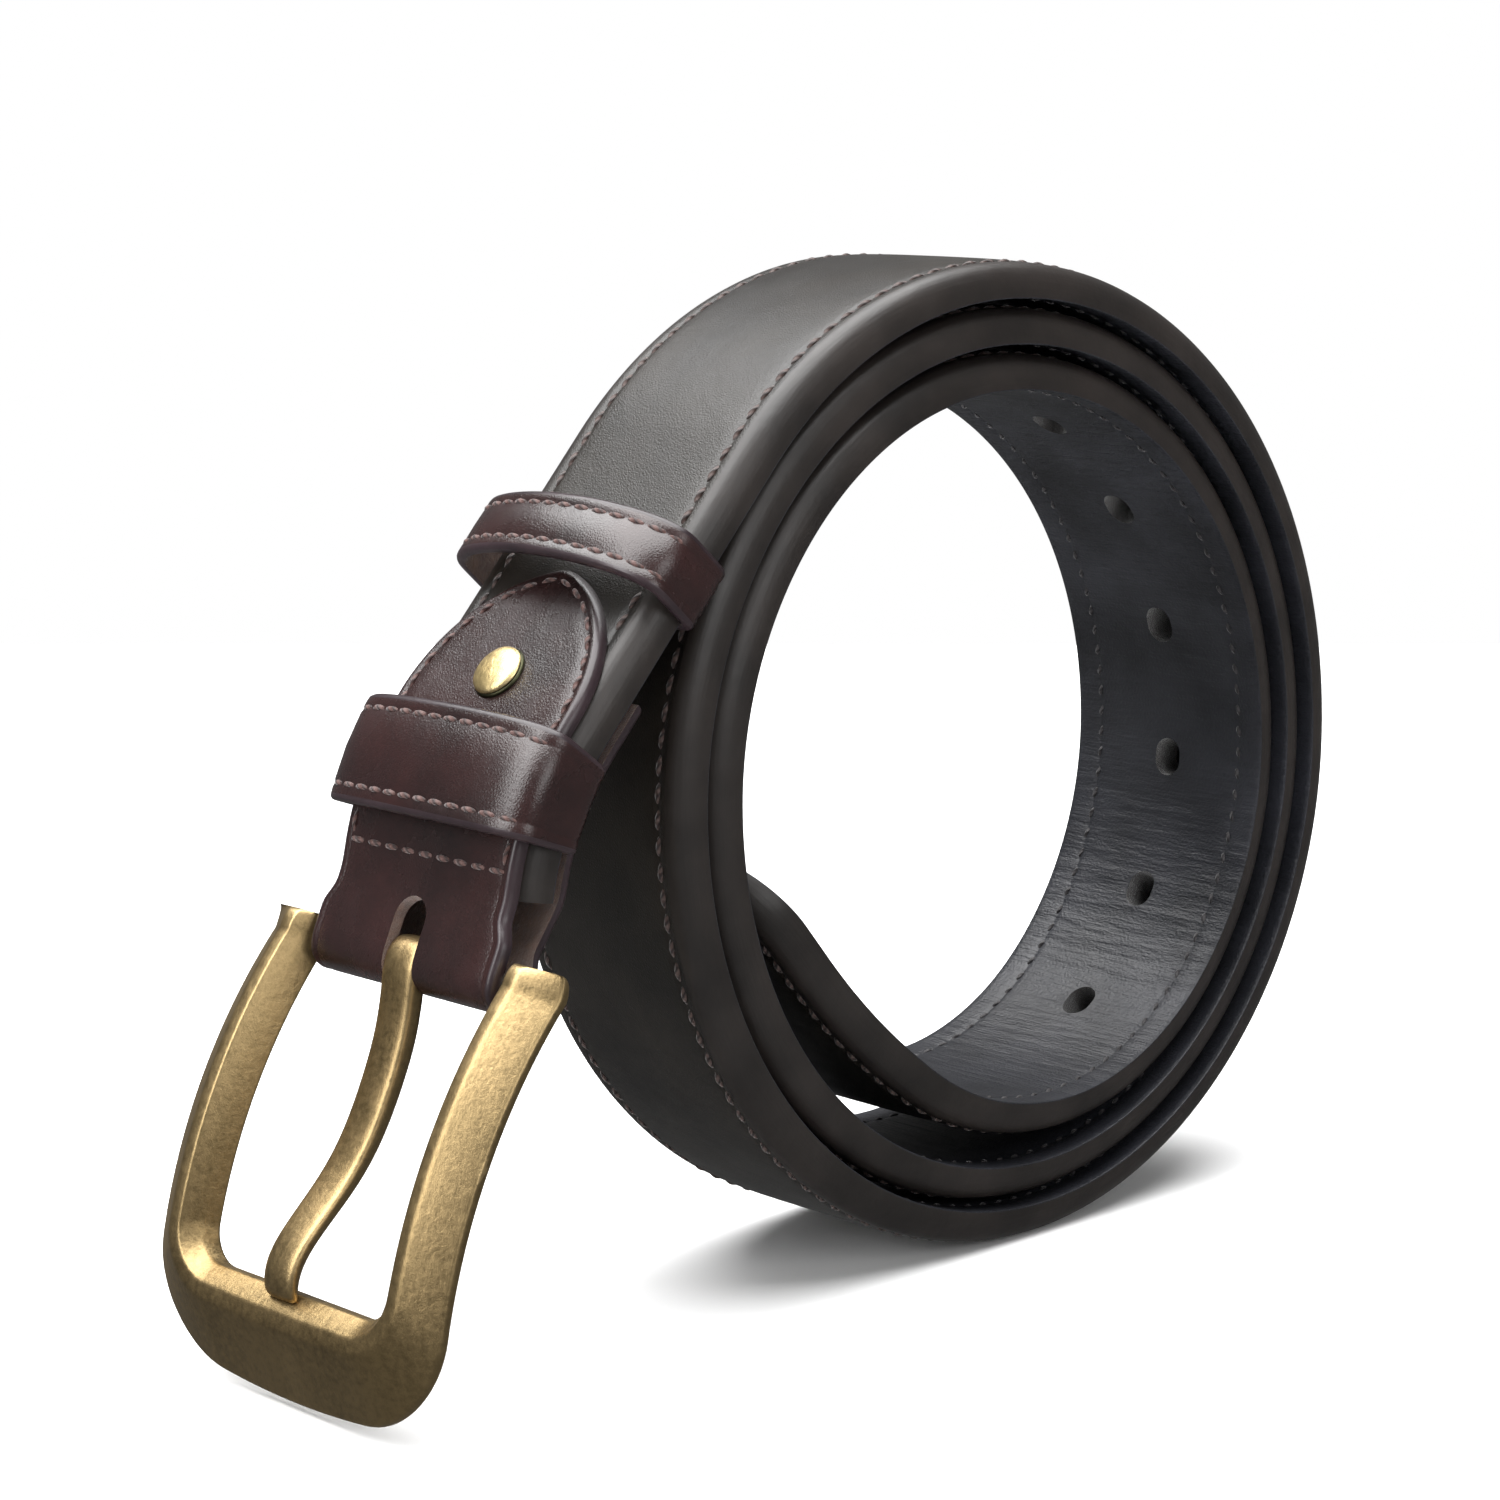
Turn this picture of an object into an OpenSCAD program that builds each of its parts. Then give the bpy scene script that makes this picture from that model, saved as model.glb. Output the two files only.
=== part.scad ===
// Leather belt with a pin buckle, rolled up and standing on the edge of its outer turn.
// X runs across the coil, Y across the width of the strap, and Z is up.
// The origin lies mid-width on the line where the outer turn meets the surface it stands on.

/* [Strap] */
// Width of the strap
strap_width = 38; // [30:0.5:46]
// Thickness of the face leather
face_thickness = 1.8; // [1.4:0.1:2.4]
// Thickness of the stiffening core
core_thickness = 1.8; // [1:0.1:2.4]
// Thickness of the lining leather
lining_thickness = 1.6; // [1.2:0.1:2.4]
// Bevel along the outer edges of the face leather
edge_bevel = 1.2; // [0.4:0.1:1.3]
// Radius of the two corners at the tip
tip_corner = 13; // [6:0.5:14]

/* [Coil] */
// Radius of the widest quarter turn, to the middle of the strap
coil_radius = 76.3; // [64:0.1:95]
// How much smaller every second quarter turn is, which makes the coil slightly oval
coil_oval = 8; // [0:0.5:9]
// Air between one turn and the next
turn_gap = 1.45; // [1:0.05:3]
// Radius of the quarter turn that leads down to the fastening end
shoulder_radius = 67.5; // [58:0.5:75]
// Straight stretch between the coil and the fastening end
straight_length = 46.5; // [44:0.5:60]
// Radius of the fastening end
end_radius = 41.5; // [36:0.5:55]
// Turn of the fastening end
end_turn = 33; // [26:1:36]
// Straight run behind the rounded tip
tail_length = 20; // [16:1:26]

/* [Holes] */
// Number of tongue holes
hole_count = 7; // [5:1:9]
// Distance from one hole to the next along the strap
hole_pitch = 23.3; // [20:0.1:26]
// Distance from the tip to the first hole
first_hole = 112; // [80:1:130]
// Width of an oval hole
hole_width = 5; // [4:0.1:6]
// Length of an oval hole along the strap
hole_length = 6.1; // [5:0.1:8]

/* [Sewing] */
// Distance from the strap's edge to its row of stitches
stitch_inset = 4.6; // [3.8:0.1:6]
// Width of a sewn thread
thread_width = 0.8; // [0.6:0.1:1.2]
// Depth of the groove that the thread lies in
thread_depth = 0.5; // [0.3:0.1:0.7]
// Distance from a keeper's or the tab's edge to its row of stitches
trim_inset = 2; // [1.6:0.1:3]

/* [Tab] */
// Thickness of the tab, which is folded around the bar
tab_thickness = 1.8; // [1.2:0.1:2.4]
// Width of the tab
tab_width = 36; // [28:0.5:44]
// Distance from the strap's end to the bar
neck_length = 11.8; // [10:0.1:16]
// Lean of the neck away from the coil
neck_lean = 26; // [20:1:32]
// How far the front flap reaches along the straight stretch
flap_length = 22.5; // [18:0.5:26]
// How far the back flap reaches along the straight stretch
back_flap_length = 8; // [7.5:0.5:11]
// Length of the slot for the prong, above the bar
slot_length = 8.5; // [7:0.5:10]
// Clearance on each side of the prong in its slot
slot_clearance = 0.7; // [0.4:0.1:1.2]

/* [Keepers] */
// Thickness of both keepers
keeper_thickness = 1.5; // [1.2:0.1:2.2]
// Clearance between a keeper and what it holds
keeper_clearance = 0.2; // [0.15:0.05:0.5]
// Room above the strap's face at the sides of a keeper
keeper_room = 3.8; // [3:0.1:5.5]
// Width of the fixed keeper along the strap
fixed_keeper_width = 13.5; // [10:0.5:15]
// Height of the bow in the front of the fixed keeper
fixed_keeper_bow = 1.6; // [0.8:0.1:3]
// Angle on the fastening end from its bottom to the middle of the fixed keeper
fixed_keeper_angle = 19.5; // [15:0.5:21]
// Width of the sliding keeper along the strap
sliding_keeper_width = 10; // [8:0.5:14]
// Height of the bow in the front of the sliding keeper
sliding_keeper_bow = 3.8; // [1:0.1:5]
// Middle of the sliding keeper, along the straight stretch
sliding_keeper_place = 25; // [22:0.5:28]

/* [Rivet] */
// Radius of the rivet's post
rivet_radius = 1.4; // [1:0.1:2]
// Radius of the rivet's domed cap
rivet_cap_radius = 4; // [3:0.1:5]
// Height of the rivet's cap
rivet_cap_height = 1.3; // [0.8:0.1:1.6]
// Thickness of the washer under the cap and of the head at the back
rivet_washer = 0.5; // [0.3:0.1:0.8]
// Place of the rivet along the straight stretch
rivet_place = 4.4; // [2:0.1:5]

/* [Buckle] */
// Radius of the steel bar
bar_radius = 1.75; // [1.4:0.05:2.2]
// Width of the buckle's opening
opening_width = 40; // [39:0.5:48]
// Width of each leg at the back
leg_width = 10.5; // [8:0.5:13]
// Depth of the frame from back to front
frame_depth = 5.4; // [4:0.1:7]
// Distance from the bar to the outside of the end rail
frame_length = 60.5; // [56:0.5:72]
// Width of the end rail
rail_width = 14.5; // [11:0.5:17]
// Radius of the frame's arched back
arch_radius = 83; // [70:1:120]
// Distance from the bar to the top of the arch
arch_peak = 26; // [20:1:32]
// Height of the arch above the bar
arch_rise = 3.5; // [2.5:0.1:5]
// Width of the flat along the top of each leg
crest_width = 2.6; // [1.5:0.1:4]

/* [Prong] */
// Width of the prong
prong_width = 4.8; // [4:0.1:6]
// Thickness of the prong
prong_thickness = 2.8; // [2:0.1:3.4]
// Running clearance between the prong's eye and the bar
eye_clearance = 0.08; // [0.03:0.01:0.1]

/* [Hidden] */
$fn = 96;

strap_thickness = face_thickness + core_thickness + lining_thickness;
half_thickness = strap_thickness / 2;
half_width = strap_width / 2;
turn_pitch = strap_thickness + turn_gap;
cut = 0.5;

// The strap's route from the fastening end to the tip, as [radius, angle] for an arc
// that bends clockwise and [0, length] for a straight stretch.
function quarter_radius(k) = coil_radius - turn_pitch * k / 4 - (k % 2) * coil_oval;
shoulder_turn = 48;
// After the round turns the strap leaves the coil and bends in across its middle.
tail_shape = [[quarter_radius(12) - 3.5, 45], [quarter_radius(12) - 9.5, 45], [quarter_radius(12) - 5, 35], [125, 15]];
route = concat(
    [[end_radius, end_turn], [0, straight_length], [shoulder_radius, shoulder_turn]],
    [for (k = [0:8]) [quarter_radius(k), 90]],
    tail_shape,
    [[0, tail_length]]
);
last_leg = len(route) - 1;

// A state is [x, z, heading] at the start of a leg.
function arc_centre(state, radius) = [state[0] + radius * sin(state[2]), state[1] - radius * cos(state[2])];
function next_state(state, leg) = leg[0] == 0
    ? [state[0] + leg[1] * cos(state[2]), state[1] + leg[1] * sin(state[2]), state[2]]
    : let (centre = arc_centre(state, leg[0]), heading = state[2] - leg[1])
        [centre[0] - leg[0] * sin(heading), centre[1] + leg[0] * cos(heading), heading];
function walk(state, legs, k = 0) = k == len(legs)
    ? [state]
    : concat([state], walk(next_state(state, legs[k]), legs, k + 1));
function leg_length(leg) = leg[0] == 0 ? leg[1] : leg[0] * leg[1] * PI / 180;
function length_to(k) = k == 0 ? 0 : length_to(k - 1) + leg_length(route[k - 1]);

// The outer turn touches the ground where its heading comes round to the level, after five legs.
ground_leg = 5;
start_heading = end_turn + shoulder_turn;
free_states = walk([0, 0, start_heading], route);
ground_shift = [-free_states[ground_leg][0], half_thickness - free_states[ground_leg][1]];
states = [for (s = free_states) [s[0] + ground_shift[0], s[1] + ground_shift[1], s[2]]];
strap_length = length_to(last_leg + 1);

// The bar hangs on the neck, and the buckle leans out until its end rail meets the ground.
strap_end = [states[0][0], states[0][1]];
bar_place = [strap_end[0] - neck_length * sin(neck_lean), strap_end[1] - neck_length * cos(neck_lean)];
arch_centre = [arch_peak, arch_rise - arch_radius];
front_radius = arch_radius + frame_depth;
rail_drop = -(arch_centre[1] + sqrt(pow(arch_radius, 2) - pow(frame_length - arch_peak, 2)));
reach = norm([frame_length, rail_drop]);
buckle_tilt = acos(min(1, bar_place[1] / reach)) + atan2(rail_drop, frame_length);
frame_half = opening_width / 2 + leg_width;
inner_lean = 2.6;
crest_inner = opening_width / 2 + inner_lean;
eye_inner = bar_radius + eye_clearance;
fold_clearance = 0.35;
fold_inner = bar_radius + fold_clearance;
fold_outer = fold_inner + tab_thickness;

// Heights above the middle of the strap, measured along its outward normal.
flap_top = half_thickness + tab_thickness;
keeper_bottom = -half_thickness - keeper_clearance;
back_flap_top = keeper_bottom - keeper_thickness - keeper_clearance;
keeper_play = 0.3;
keeper_half = half_width + keeper_clearance + keeper_play;

// ---- building along the route ----

// Every second leg away from the round turns is drawn a hair slimmer and laps into its
// neighbours, so that the legs join with no sliver between them.
slack = 0.02;
lap = 0.1;
function is_slim(k) = k == 1 || (k > ground_leg + 6 && k % 2 == 0);
function slim(k) = is_slim(k) ? slack : 0;
function lap_of(k) = is_slim(k) ? lap : 0;

// Places a drawing of height above the strap (X) and width (Y) along one leg, as a swept band.
module band(k) {
    leg = route[k];
    if (leg[0] == 0)
        straight_band(k, -lap_of(k), leg[1] + lap_of(k)) children();
    else
        part_arc(k, -lap_of(k) / leg[0] * 180 / PI, leg[1] + lap_of(k) / leg[0] * 180 / PI) children();
}

// Sweeps a drawing over part of an arc leg, between two angles measured from its start.
module part_arc(k, from, to) {
    centre = arc_centre(states[k], route[k][0]);
    rotate([90, 0, 0])
        translate([centre[0], centre[1], 0])
            rotate([0, 0, states[k][2] + 90 - to])
                rotate_extrude(angle = to - from)
                    translate([route[k][0], 0])
                        children();
}

// Sweeps a drawing along a straight leg, between two distances from its start.
module straight_band(k, from, to) {
    at_leg(k)
        translate([from, 0, 0])
            rotate([90, 0, 90])
                linear_extrude(to - from)
                    children();
}

// Moves into the frame of a leg's start: X along the strap, Y outward, Z across the width.
module at_leg(k) {
    state = states[k];
    rotate([90, 0, 0])
        translate([state[0], state[1], 0])
            rotate([0, 0, state[2]])
                children();
}

// Section of one layer on leg k, from height low to height high.
module layer_section(k, low, high, bevel) {
    side = half_width - slim(k);
    bottom = low + slim(k);
    top = high - slim(k);
    polygon([
        [bottom, -side],
        [top - bevel, -side],
        [top, -side + bevel],
        [top, side - bevel],
        [top - bevel, side],
        [bottom, side]
    ]);
}

// Rounded outline of the last leg, seen from its face, drawn in smaller by inset.
module tip_plan(inset) {
    corner = tip_corner - inset;
    side = half_width - inset;
    front = tail_length - inset;
    translate([-lap, -side])
        square([front - corner + lap, 2 * side]);
    translate([front - corner - cut, -side + corner])
        square([corner + cut, 2 * (side - corner)]);
    for (edge = [-1, 1])
        translate([front - corner, edge * (side - corner)])
            circle(corner);
}

// Extrudes a drawing of distance along (X) and width (Y) between two heights above the strap.
module plate(low, high) {
    translate([0, high, 0])
        rotate([90, 0, 0])
            linear_extrude(high - low)
                children();
}

module strap_layer(low, high, bevel = 0) {
    difference() {
        union() {
            for (k = [0:last_leg - 1])
                band(k) layer_section(k, low, high, bevel);
            at_leg(last_leg) {
                plate(low + slack, high - slack) tip_plan(slack + bevel);
                plate(low + slack, high - bevel - slack) tip_plan(slack);
            }
        }
        tongue_holes();
        at_leg(1) translate([rivet_place, 0, 0]) rivet_bore(post_clearance);
    }
}

// State on the route at a distance measured back from the tip.
function leg_at(distance, k = 0) = length_to(k + 1) >= distance ? k : leg_at(distance, k + 1);
function state_at(distance) =
    let (k = leg_at(distance), rest = distance - length_to(k), leg = route[k])
        next_state(states[k], leg[0] == 0 ? [0, rest] : [leg[0], rest / leg[0] * 180 / PI]);

module tongue_holes() {
    for (i = [0:hole_count - 1]) {
        s = state_at(strap_length - first_hole - i * hole_pitch);
        rotate([90, 0, 0])
            translate([s[0], s[1], 0])
                rotate([0, 0, s[2]])
                    oval_hole();
    }
}

module oval_hole() {
    shift = (hole_length - hole_width) / 2;
    for (side = [-1, 1])
        translate([side * shift, 0, 0])
            rotate([90, 0, 0])
                cylinder(h = 2 * strap_thickness, d = hole_width, center = true);
    cube([2 * shift, 2 * strap_thickness, hole_width], center = true);
}

// Clearance around the rivet's post.
post_clearance = 0.05;

module rivet_bore(clearance) {
    rotate([90, 0, 0])
        cylinder(h = 40, r = rivet_radius + clearance, center = true);
}

// A row of stitches along both edges and around the tip, between two heights.
module strap_stitches(low, high) {
    row = half_width - stitch_inset;
    for (k = [1:last_leg - 1], side = [-1, 1]) {
        ribbon = thread_width / 2 - slim(k);
        band(k)
            translate([low + slim(k), side * row - ribbon])
                square([high - low - 2 * slim(k), 2 * ribbon]);
    }
    at_leg(last_leg)
        plate(low + slack, high - slack)
            difference() {
                tip_plan(stitch_inset - thread_width / 2 + slack);
                translate([-2 * cut, -row + thread_width / 2 - slack])
                    square([tail_length - tip_corner + 2 * cut, 2 * row - thread_width + 2 * slack]);
                tip_plan(stitch_inset + thread_width / 2 - slack);
            }
}

module strap_face() {
    color([0.13, 0.10, 0.09])
        difference() {
            strap_layer(half_thickness - face_thickness, half_thickness, edge_bevel);
            strap_stitches(half_thickness - thread_depth, half_thickness + cut);
        }
}

module strap_core() {
    color([0.30, 0.24, 0.19])
        strap_layer(-half_thickness + lining_thickness, half_thickness - face_thickness);
}

module strap_lining() {
    color([0.12, 0.12, 0.13])
        difference() {
            strap_layer(-half_thickness, -half_thickness + lining_thickness);
            strap_stitches(-half_thickness - cut, -half_thickness + thread_depth);
        }
}

module face_thread() {
    color([0.33, 0.22, 0.18])
        strap_stitches(half_thickness - thread_depth, half_thickness);
}

module lining_thread() {
    color([0.16, 0.13, 0.13])
        strap_stitches(-half_thickness, -half_thickness + thread_depth);
}

// ---- the tab ----

// Pointed arch that the front flap ends in, drawn in smaller by inset.
point_radius = 8;
module flap_plan(inset) {
    half = tab_width / 2 - inset;
    length = flap_length + 2 - inset;
    arch = (half * half + length * length) / (2 * half);
    intersection() {
        translate([-lap, -half])
            square([flap_length - inset - point_radius + lap, 2 * half]);
        translate([0, arch - half]) circle(arch);
        translate([0, half - arch]) circle(arch);
    }
    intersection() {
        translate([flap_length - inset - point_radius - lap, -half])
            square([point_radius + 2 * lap, 2 * half]);
        translate([0, arch - half]) circle(arch);
        translate([0, half - arch]) circle(arch);
        translate([flap_length - inset - 2 * point_radius, 0]) circle(2 * point_radius);
    }
}

// Angle of the tangent from a flap's inner corner to the fold, seen from the bar.
function tangent_angle(corner, side) =
    let (gap = corner - bar_place)
        atan2(gap[1], gap[0]) + side * acos(fold_inner / norm(gap));

function on_ring(radius, angle) = bar_place + radius * [cos(angle), sin(angle)];
function end_point(height) = strap_end + height * [-sin(start_heading), cos(start_heading)];

front_angle = tangent_angle(end_point(half_thickness), 1);
back_angle = tangent_angle(end_point(back_flap_top), -1);

// A flap's straight run from the strap's end to the fold, between two heights.
module neck_side(low, high, near, far) {
    linear_extrude(tab_width - 2 * slack)
        polygon([
            end_point(low + slack) + lap * end_direction,
            end_point(high - slack) + lap * end_direction,
            far,
            near
        ]);
}

end_direction = [cos(start_heading), sin(start_heading)];

// The straight runs reach a little way into the ring of the fold.
ring_reach = 12;
ring_inset = 0.2;

module tab_neck() {
    inner = fold_inner + ring_inset;
    outer = fold_outer - ring_inset;
    front = front_angle + ring_reach;
    back = back_angle - ring_reach;
    rotate([90, 0, 0]) {
        translate([0, 0, -tab_width / 2 + slack]) {
            neck_side(half_thickness, flap_top, on_ring(inner, front), on_ring(outer, front));
            neck_side(back_flap_top, back_flap_top - tab_thickness, on_ring(inner, back), on_ring(outer, back));
        }
        translate([bar_place[0], bar_place[1], 0])
            rotate([0, 0, front_angle])
                rotate_extrude(angle = 360 + back_angle - front_angle)
                    translate([fold_inner, -tab_width / 2])
                        square([tab_thickness, tab_width]);
    }
}

// The slot lets the prong through the fold, with a round end above the bar.
module prong_slot() {
    slot_half = prong_width / 2 + slot_clearance;
    translate([bar_place[0], 0, bar_place[1]])
        rotate([0, neck_lean, 0]) {
            translate([0, 0, (slot_length - slot_half - 20) / 2])
                cube([40, 2 * slot_half, slot_length - slot_half + 20], center = true);
            translate([0, 0, slot_length - slot_half])
                rotate([0, 90, 0])
                    cylinder(h = 40, r = slot_half, center = true);
        }
}

// A flap lies along the end arc and then runs on over the start of the straight stretch.
module flap(low, high) {
    band(0)
        translate([low, -tab_width / 2])
            square([high - low, tab_width]);
    at_leg(1)
        plate(low + slack, high - slack)
            children();
}

module tab_leather() {
    color([0.20, 0.09, 0.08])
        difference() {
            union() {
                tab_neck();
                flap(half_thickness, flap_top) flap_plan(slack);
                flap(back_flap_top - tab_thickness, back_flap_top)
                    translate([-lap, -tab_width / 2 + slack])
                        square([back_flap_length + lap, tab_width - 2 * slack]);
            }
            prong_slot();
            at_leg(1) translate([rivet_place, 0, 0]) rivet_bore(post_clearance);
            tab_edge_stitches(flap_top - thread_depth, flap_top + cut);
            tab_cross_stitches(flap_top - thread_depth, flap_top + cut);
        }
}

cross_from = 2;
cross_to = cross_from + thread_width / end_radius * 180 / PI;

module tab_edge_stitches(low, high) {
    row = tab_width / 2 - trim_inset;
    for (side = [-1, 1])
        part_arc(0, cross_to + 1, end_turn)
            translate([low, side * row - thread_width / 2])
                square([high - low, thread_width]);
    at_leg(1)
        plate(low + slack, high - slack)
            difference() {
                flap_plan(trim_inset - thread_width / 2 + slack);
                translate([-2 * lap, 0]) flap_plan(trim_inset + thread_width / 2 - slack);
            }
}

module tab_cross_stitches(low, high) {
    row = tab_width / 2 - trim_inset + thread_width / 2;
    part_arc(0, cross_from, cross_to)
        translate([low, -row])
            square([high - low, 2 * row]);
}

module tab_edge_thread() {
    color([0.45, 0.28, 0.25])
        tab_edge_stitches(flap_top - thread_depth, flap_top);
}

module tab_cross_thread() {
    color([0.45, 0.28, 0.25])
        tab_cross_stitches(flap_top - thread_depth, flap_top);
}

// ---- keepers ----

// Section of a loop around the strap, height in X and width in Y, grown by a thickness.
back_corner = 0.9;
module loop_section(bow, grow) {
    low = keeper_bottom - grow;
    side_top = half_thickness + keeper_room;
    half = keeper_half + grow;
    corner = back_corner + grow;
    bow_radius = (keeper_half * keeper_half + bow * bow) / (2 * bow);
    intersection() {
        union() {
            translate([low + corner, -half])
                square([side_top + bow + grow - low, 2 * half]);
            translate([low, -half + corner])
                square([2 * corner, 2 * (half - corner)]);
            for (edge = [-1, 1])
                translate([low + corner, edge * (half - corner)])
                    circle(corner);
        }
        translate([side_top + bow - bow_radius, 0])
            circle(bow_radius + grow);
    }
}

module keeper_section(bow) {
    difference() {
        loop_section(bow, keeper_thickness);
        loop_section(bow, 0);
    }
}

// Groove or thread that runs around the outside of a loop, open where the lap is at the back.
module loop_thread_section(bow, over) {
    intersection() {
        difference() {
            loop_section(bow, keeper_thickness + over);
            loop_section(bow, keeper_thickness - thread_depth);
        }
        translate([half_thickness, -2 * half_width])
            square([40, 4 * half_width]);
    }
}

fixed_keeper_half_angle = fixed_keeper_width / 2 / end_radius * 180 / PI;
fixed_keeper_from = fixed_keeper_angle - fixed_keeper_half_angle;
fixed_keeper_to = fixed_keeper_angle + fixed_keeper_half_angle;
trim_angle = trim_inset / end_radius * 180 / PI;
thread_angle = thread_width / end_radius * 180 / PI;

module fixed_keeper_row(upper, over) {
    middle = upper ? fixed_keeper_to - trim_angle : fixed_keeper_from + trim_angle;
    part_arc(0, middle - thread_angle / 2, middle + thread_angle / 2)
        loop_thread_section(fixed_keeper_bow, over);
}

module fixed_keeper() {
    color([0.20, 0.08, 0.08])
        difference() {
            part_arc(0, fixed_keeper_from, fixed_keeper_to)
                keeper_section(fixed_keeper_bow);
            fixed_keeper_row(true, cut);
            fixed_keeper_row(false, cut);
            fixed_staple_shape();
        }
}

module fixed_keeper_upper_thread() {
    color([0.45, 0.28, 0.26])
        fixed_keeper_row(true, 0);
}

module fixed_keeper_lower_thread() {
    color([0.45, 0.28, 0.26])
        fixed_keeper_row(false, 0);
}

// The lapped ends of a keeper are held by a flat staple let into the outside of its back.
staple_width = 9;
staple_length = 4;
staple_angle = staple_length / end_radius * 180 / PI;
staple_depth = 0.6;

module staple_section() {
    translate([keeper_bottom - keeper_thickness, -staple_width / 2])
        square([staple_depth, staple_width]);
}

module fixed_staple_shape() {
    part_arc(0, fixed_keeper_angle - staple_angle / 2, fixed_keeper_angle + staple_angle / 2)
        staple_section();
}

module fixed_keeper_staple() {
    color("silver")
        fixed_staple_shape();
}

sliding_keeper_from = sliding_keeper_place - sliding_keeper_width / 2;
sliding_keeper_to = sliding_keeper_place + sliding_keeper_width / 2;

module sliding_keeper_row(upper, over) {
    middle = upper ? sliding_keeper_to - trim_inset : sliding_keeper_from + trim_inset;
    straight_band(1, middle - thread_width / 2, middle + thread_width / 2)
        loop_thread_section(sliding_keeper_bow, over);
}

module sliding_keeper() {
    color([0.20, 0.08, 0.08])
        difference() {
            straight_band(1, sliding_keeper_from, sliding_keeper_to)
                keeper_section(sliding_keeper_bow);
            sliding_keeper_row(true, cut);
            sliding_keeper_row(false, cut);
            sliding_staple_shape();
        }
}

module sliding_keeper_upper_thread() {
    color([0.45, 0.28, 0.26])
        sliding_keeper_row(true, 0);
}

module sliding_keeper_lower_thread() {
    color([0.45, 0.28, 0.26])
        sliding_keeper_row(false, 0);
}

module sliding_staple_shape() {
    straight_band(1, sliding_keeper_place - staple_length / 2, sliding_keeper_place + staple_length / 2)
        staple_section();
}

module sliding_keeper_staple() {
    color("silver")
        sliding_staple_shape();
}

// ---- rivet ----

// Moves to the rivet's axis: Z points out of the front flap, measured from the strap's middle.
module at_rivet() {
    at_leg(1)
        translate([rivet_place, 0, 0])
            rotate([-90, 0, 0])
                children();
}

module rivet_cap() {
    dome = (pow(rivet_cap_radius, 2) + pow(rivet_cap_height, 2)) / (2 * rivet_cap_height);
    base = flap_top + rivet_washer;
    color([0.72, 0.56, 0.28])
        at_rivet()
            intersection() {
                translate([0, 0, base + rivet_cap_height - dome])
                    sphere(dome);
                translate([0, 0, base])
                    cylinder(h = rivet_cap_height + cut, r = rivet_cap_radius + cut);
            }
}

module rivet_collar() {
    color([0.25, 0.24, 0.14])
        at_rivet()
            translate([0, 0, flap_top])
                difference() {
                    cylinder(h = rivet_washer, r = rivet_cap_radius - 0.3);
                    translate([0, 0, -cut])
                        cylinder(h = rivet_washer + 2 * cut, r = rivet_radius + post_clearance);
                }
}

module rivet_post() {
    low = back_flap_top - tab_thickness;
    color([0.60, 0.60, 0.60])
        at_rivet()
            translate([0, 0, low])
                cylinder(h = flap_top + rivet_washer - low, r = rivet_radius);
}

module rivet_back() {
    color([0.60, 0.60, 0.60])
        at_rivet()
            translate([0, 0, back_flap_top - tab_thickness - rivet_washer])
                cylinder(h = rivet_washer, r = rivet_cap_radius - 0.5);
}

// ---- buckle ----

// Moves to the bar: X runs along the frame to its end rail and Z out of its front.
module at_buckle() {
    translate([bar_place[0], 0, bar_place[1]])
        rotate([0, buckle_tilt - 90, 0])
            rotate([0, 0, 180])
                children();
}

// Outline of the frame seen from its front, with the end rail bowed out between round corners.
frame_corner = 15;
frame_bow = 130;
module frame_plan() {
    corner_x = frame_length + 1 - frame_corner;
    corner_y = frame_half - frame_corner;
    intersection() {
        union() {
            translate([0, -frame_half])
                square([corner_x, 2 * frame_half]);
            translate([0, -corner_y])
                square([frame_length + 1, 2 * corner_y]);
            for (side = [-1, 1])
                translate([corner_x, side * corner_y])
                    circle(frame_corner);
        }
        translate([frame_length - frame_bow, 0])
            circle(frame_bow);
    }
}

opening_corner = 5;
opening_end = frame_length - rail_width;
module opening_plan() {
    half = opening_width / 2;
    union() {
        translate([-20, -half])
            square([20 + opening_end - opening_corner, 2 * half]);
        translate([0, -half + opening_corner])
            square([opening_end, 2 * (half - opening_corner)]);
        for (side = [-1, 1])
            translate([opening_end - opening_corner, side * (half - opening_corner)])
                circle(opening_corner);
    }
}

// Sweeps a section of radius and width around the axis of the arch.
module arch_sweep(from, to) {
    translate([arch_centre[0], 0, arch_centre[1]])
        rotate([90, 0, 0])
            rotate([0, 0, 90 - to])
                rotate_extrude(angle = to - from)
                    children();
}

// Height of the arched front above the bar at a distance along the frame.
function front_height(u) = arch_centre[1] + sqrt(pow(front_radius, 2) - pow(u - arch_peak, 2));
edge_height = 1.5;
bevel_foot = 0.8;

// Slab between the arched back and front, with faces that slope to thin outer edges.
module frame_slab() {
    intersection() {
        arch_sweep(-34, 34)
            polygon([
                [arch_radius, -frame_half - 1],
                [arch_radius + edge_height - 0.4, -frame_half - 1],
                [front_radius, -crest_inner - crest_width],
                [front_radius, crest_inner + crest_width],
                [arch_radius + edge_height - 0.4, frame_half + 1],
                [arch_radius, frame_half + 1]
            ]);
        translate([0, 0, -20])
            linear_extrude(40)
                frame_plan();
    }
}

// Round end of a leg, which the bar is pressed into.
module frame_ear(side) {
    rise = (front_height(0) - bar_radius - ear_wall) / 2;
    translate([0, side * (opening_width / 2 + ear_width / 2), rise])
        rotate([90, 0, 0])
            cylinder(h = ear_width, r = front_height(0) - rise, center = true);
}

ear_wall = 1.5;
ear_width = 7.5;
bar_seat = 5;

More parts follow.
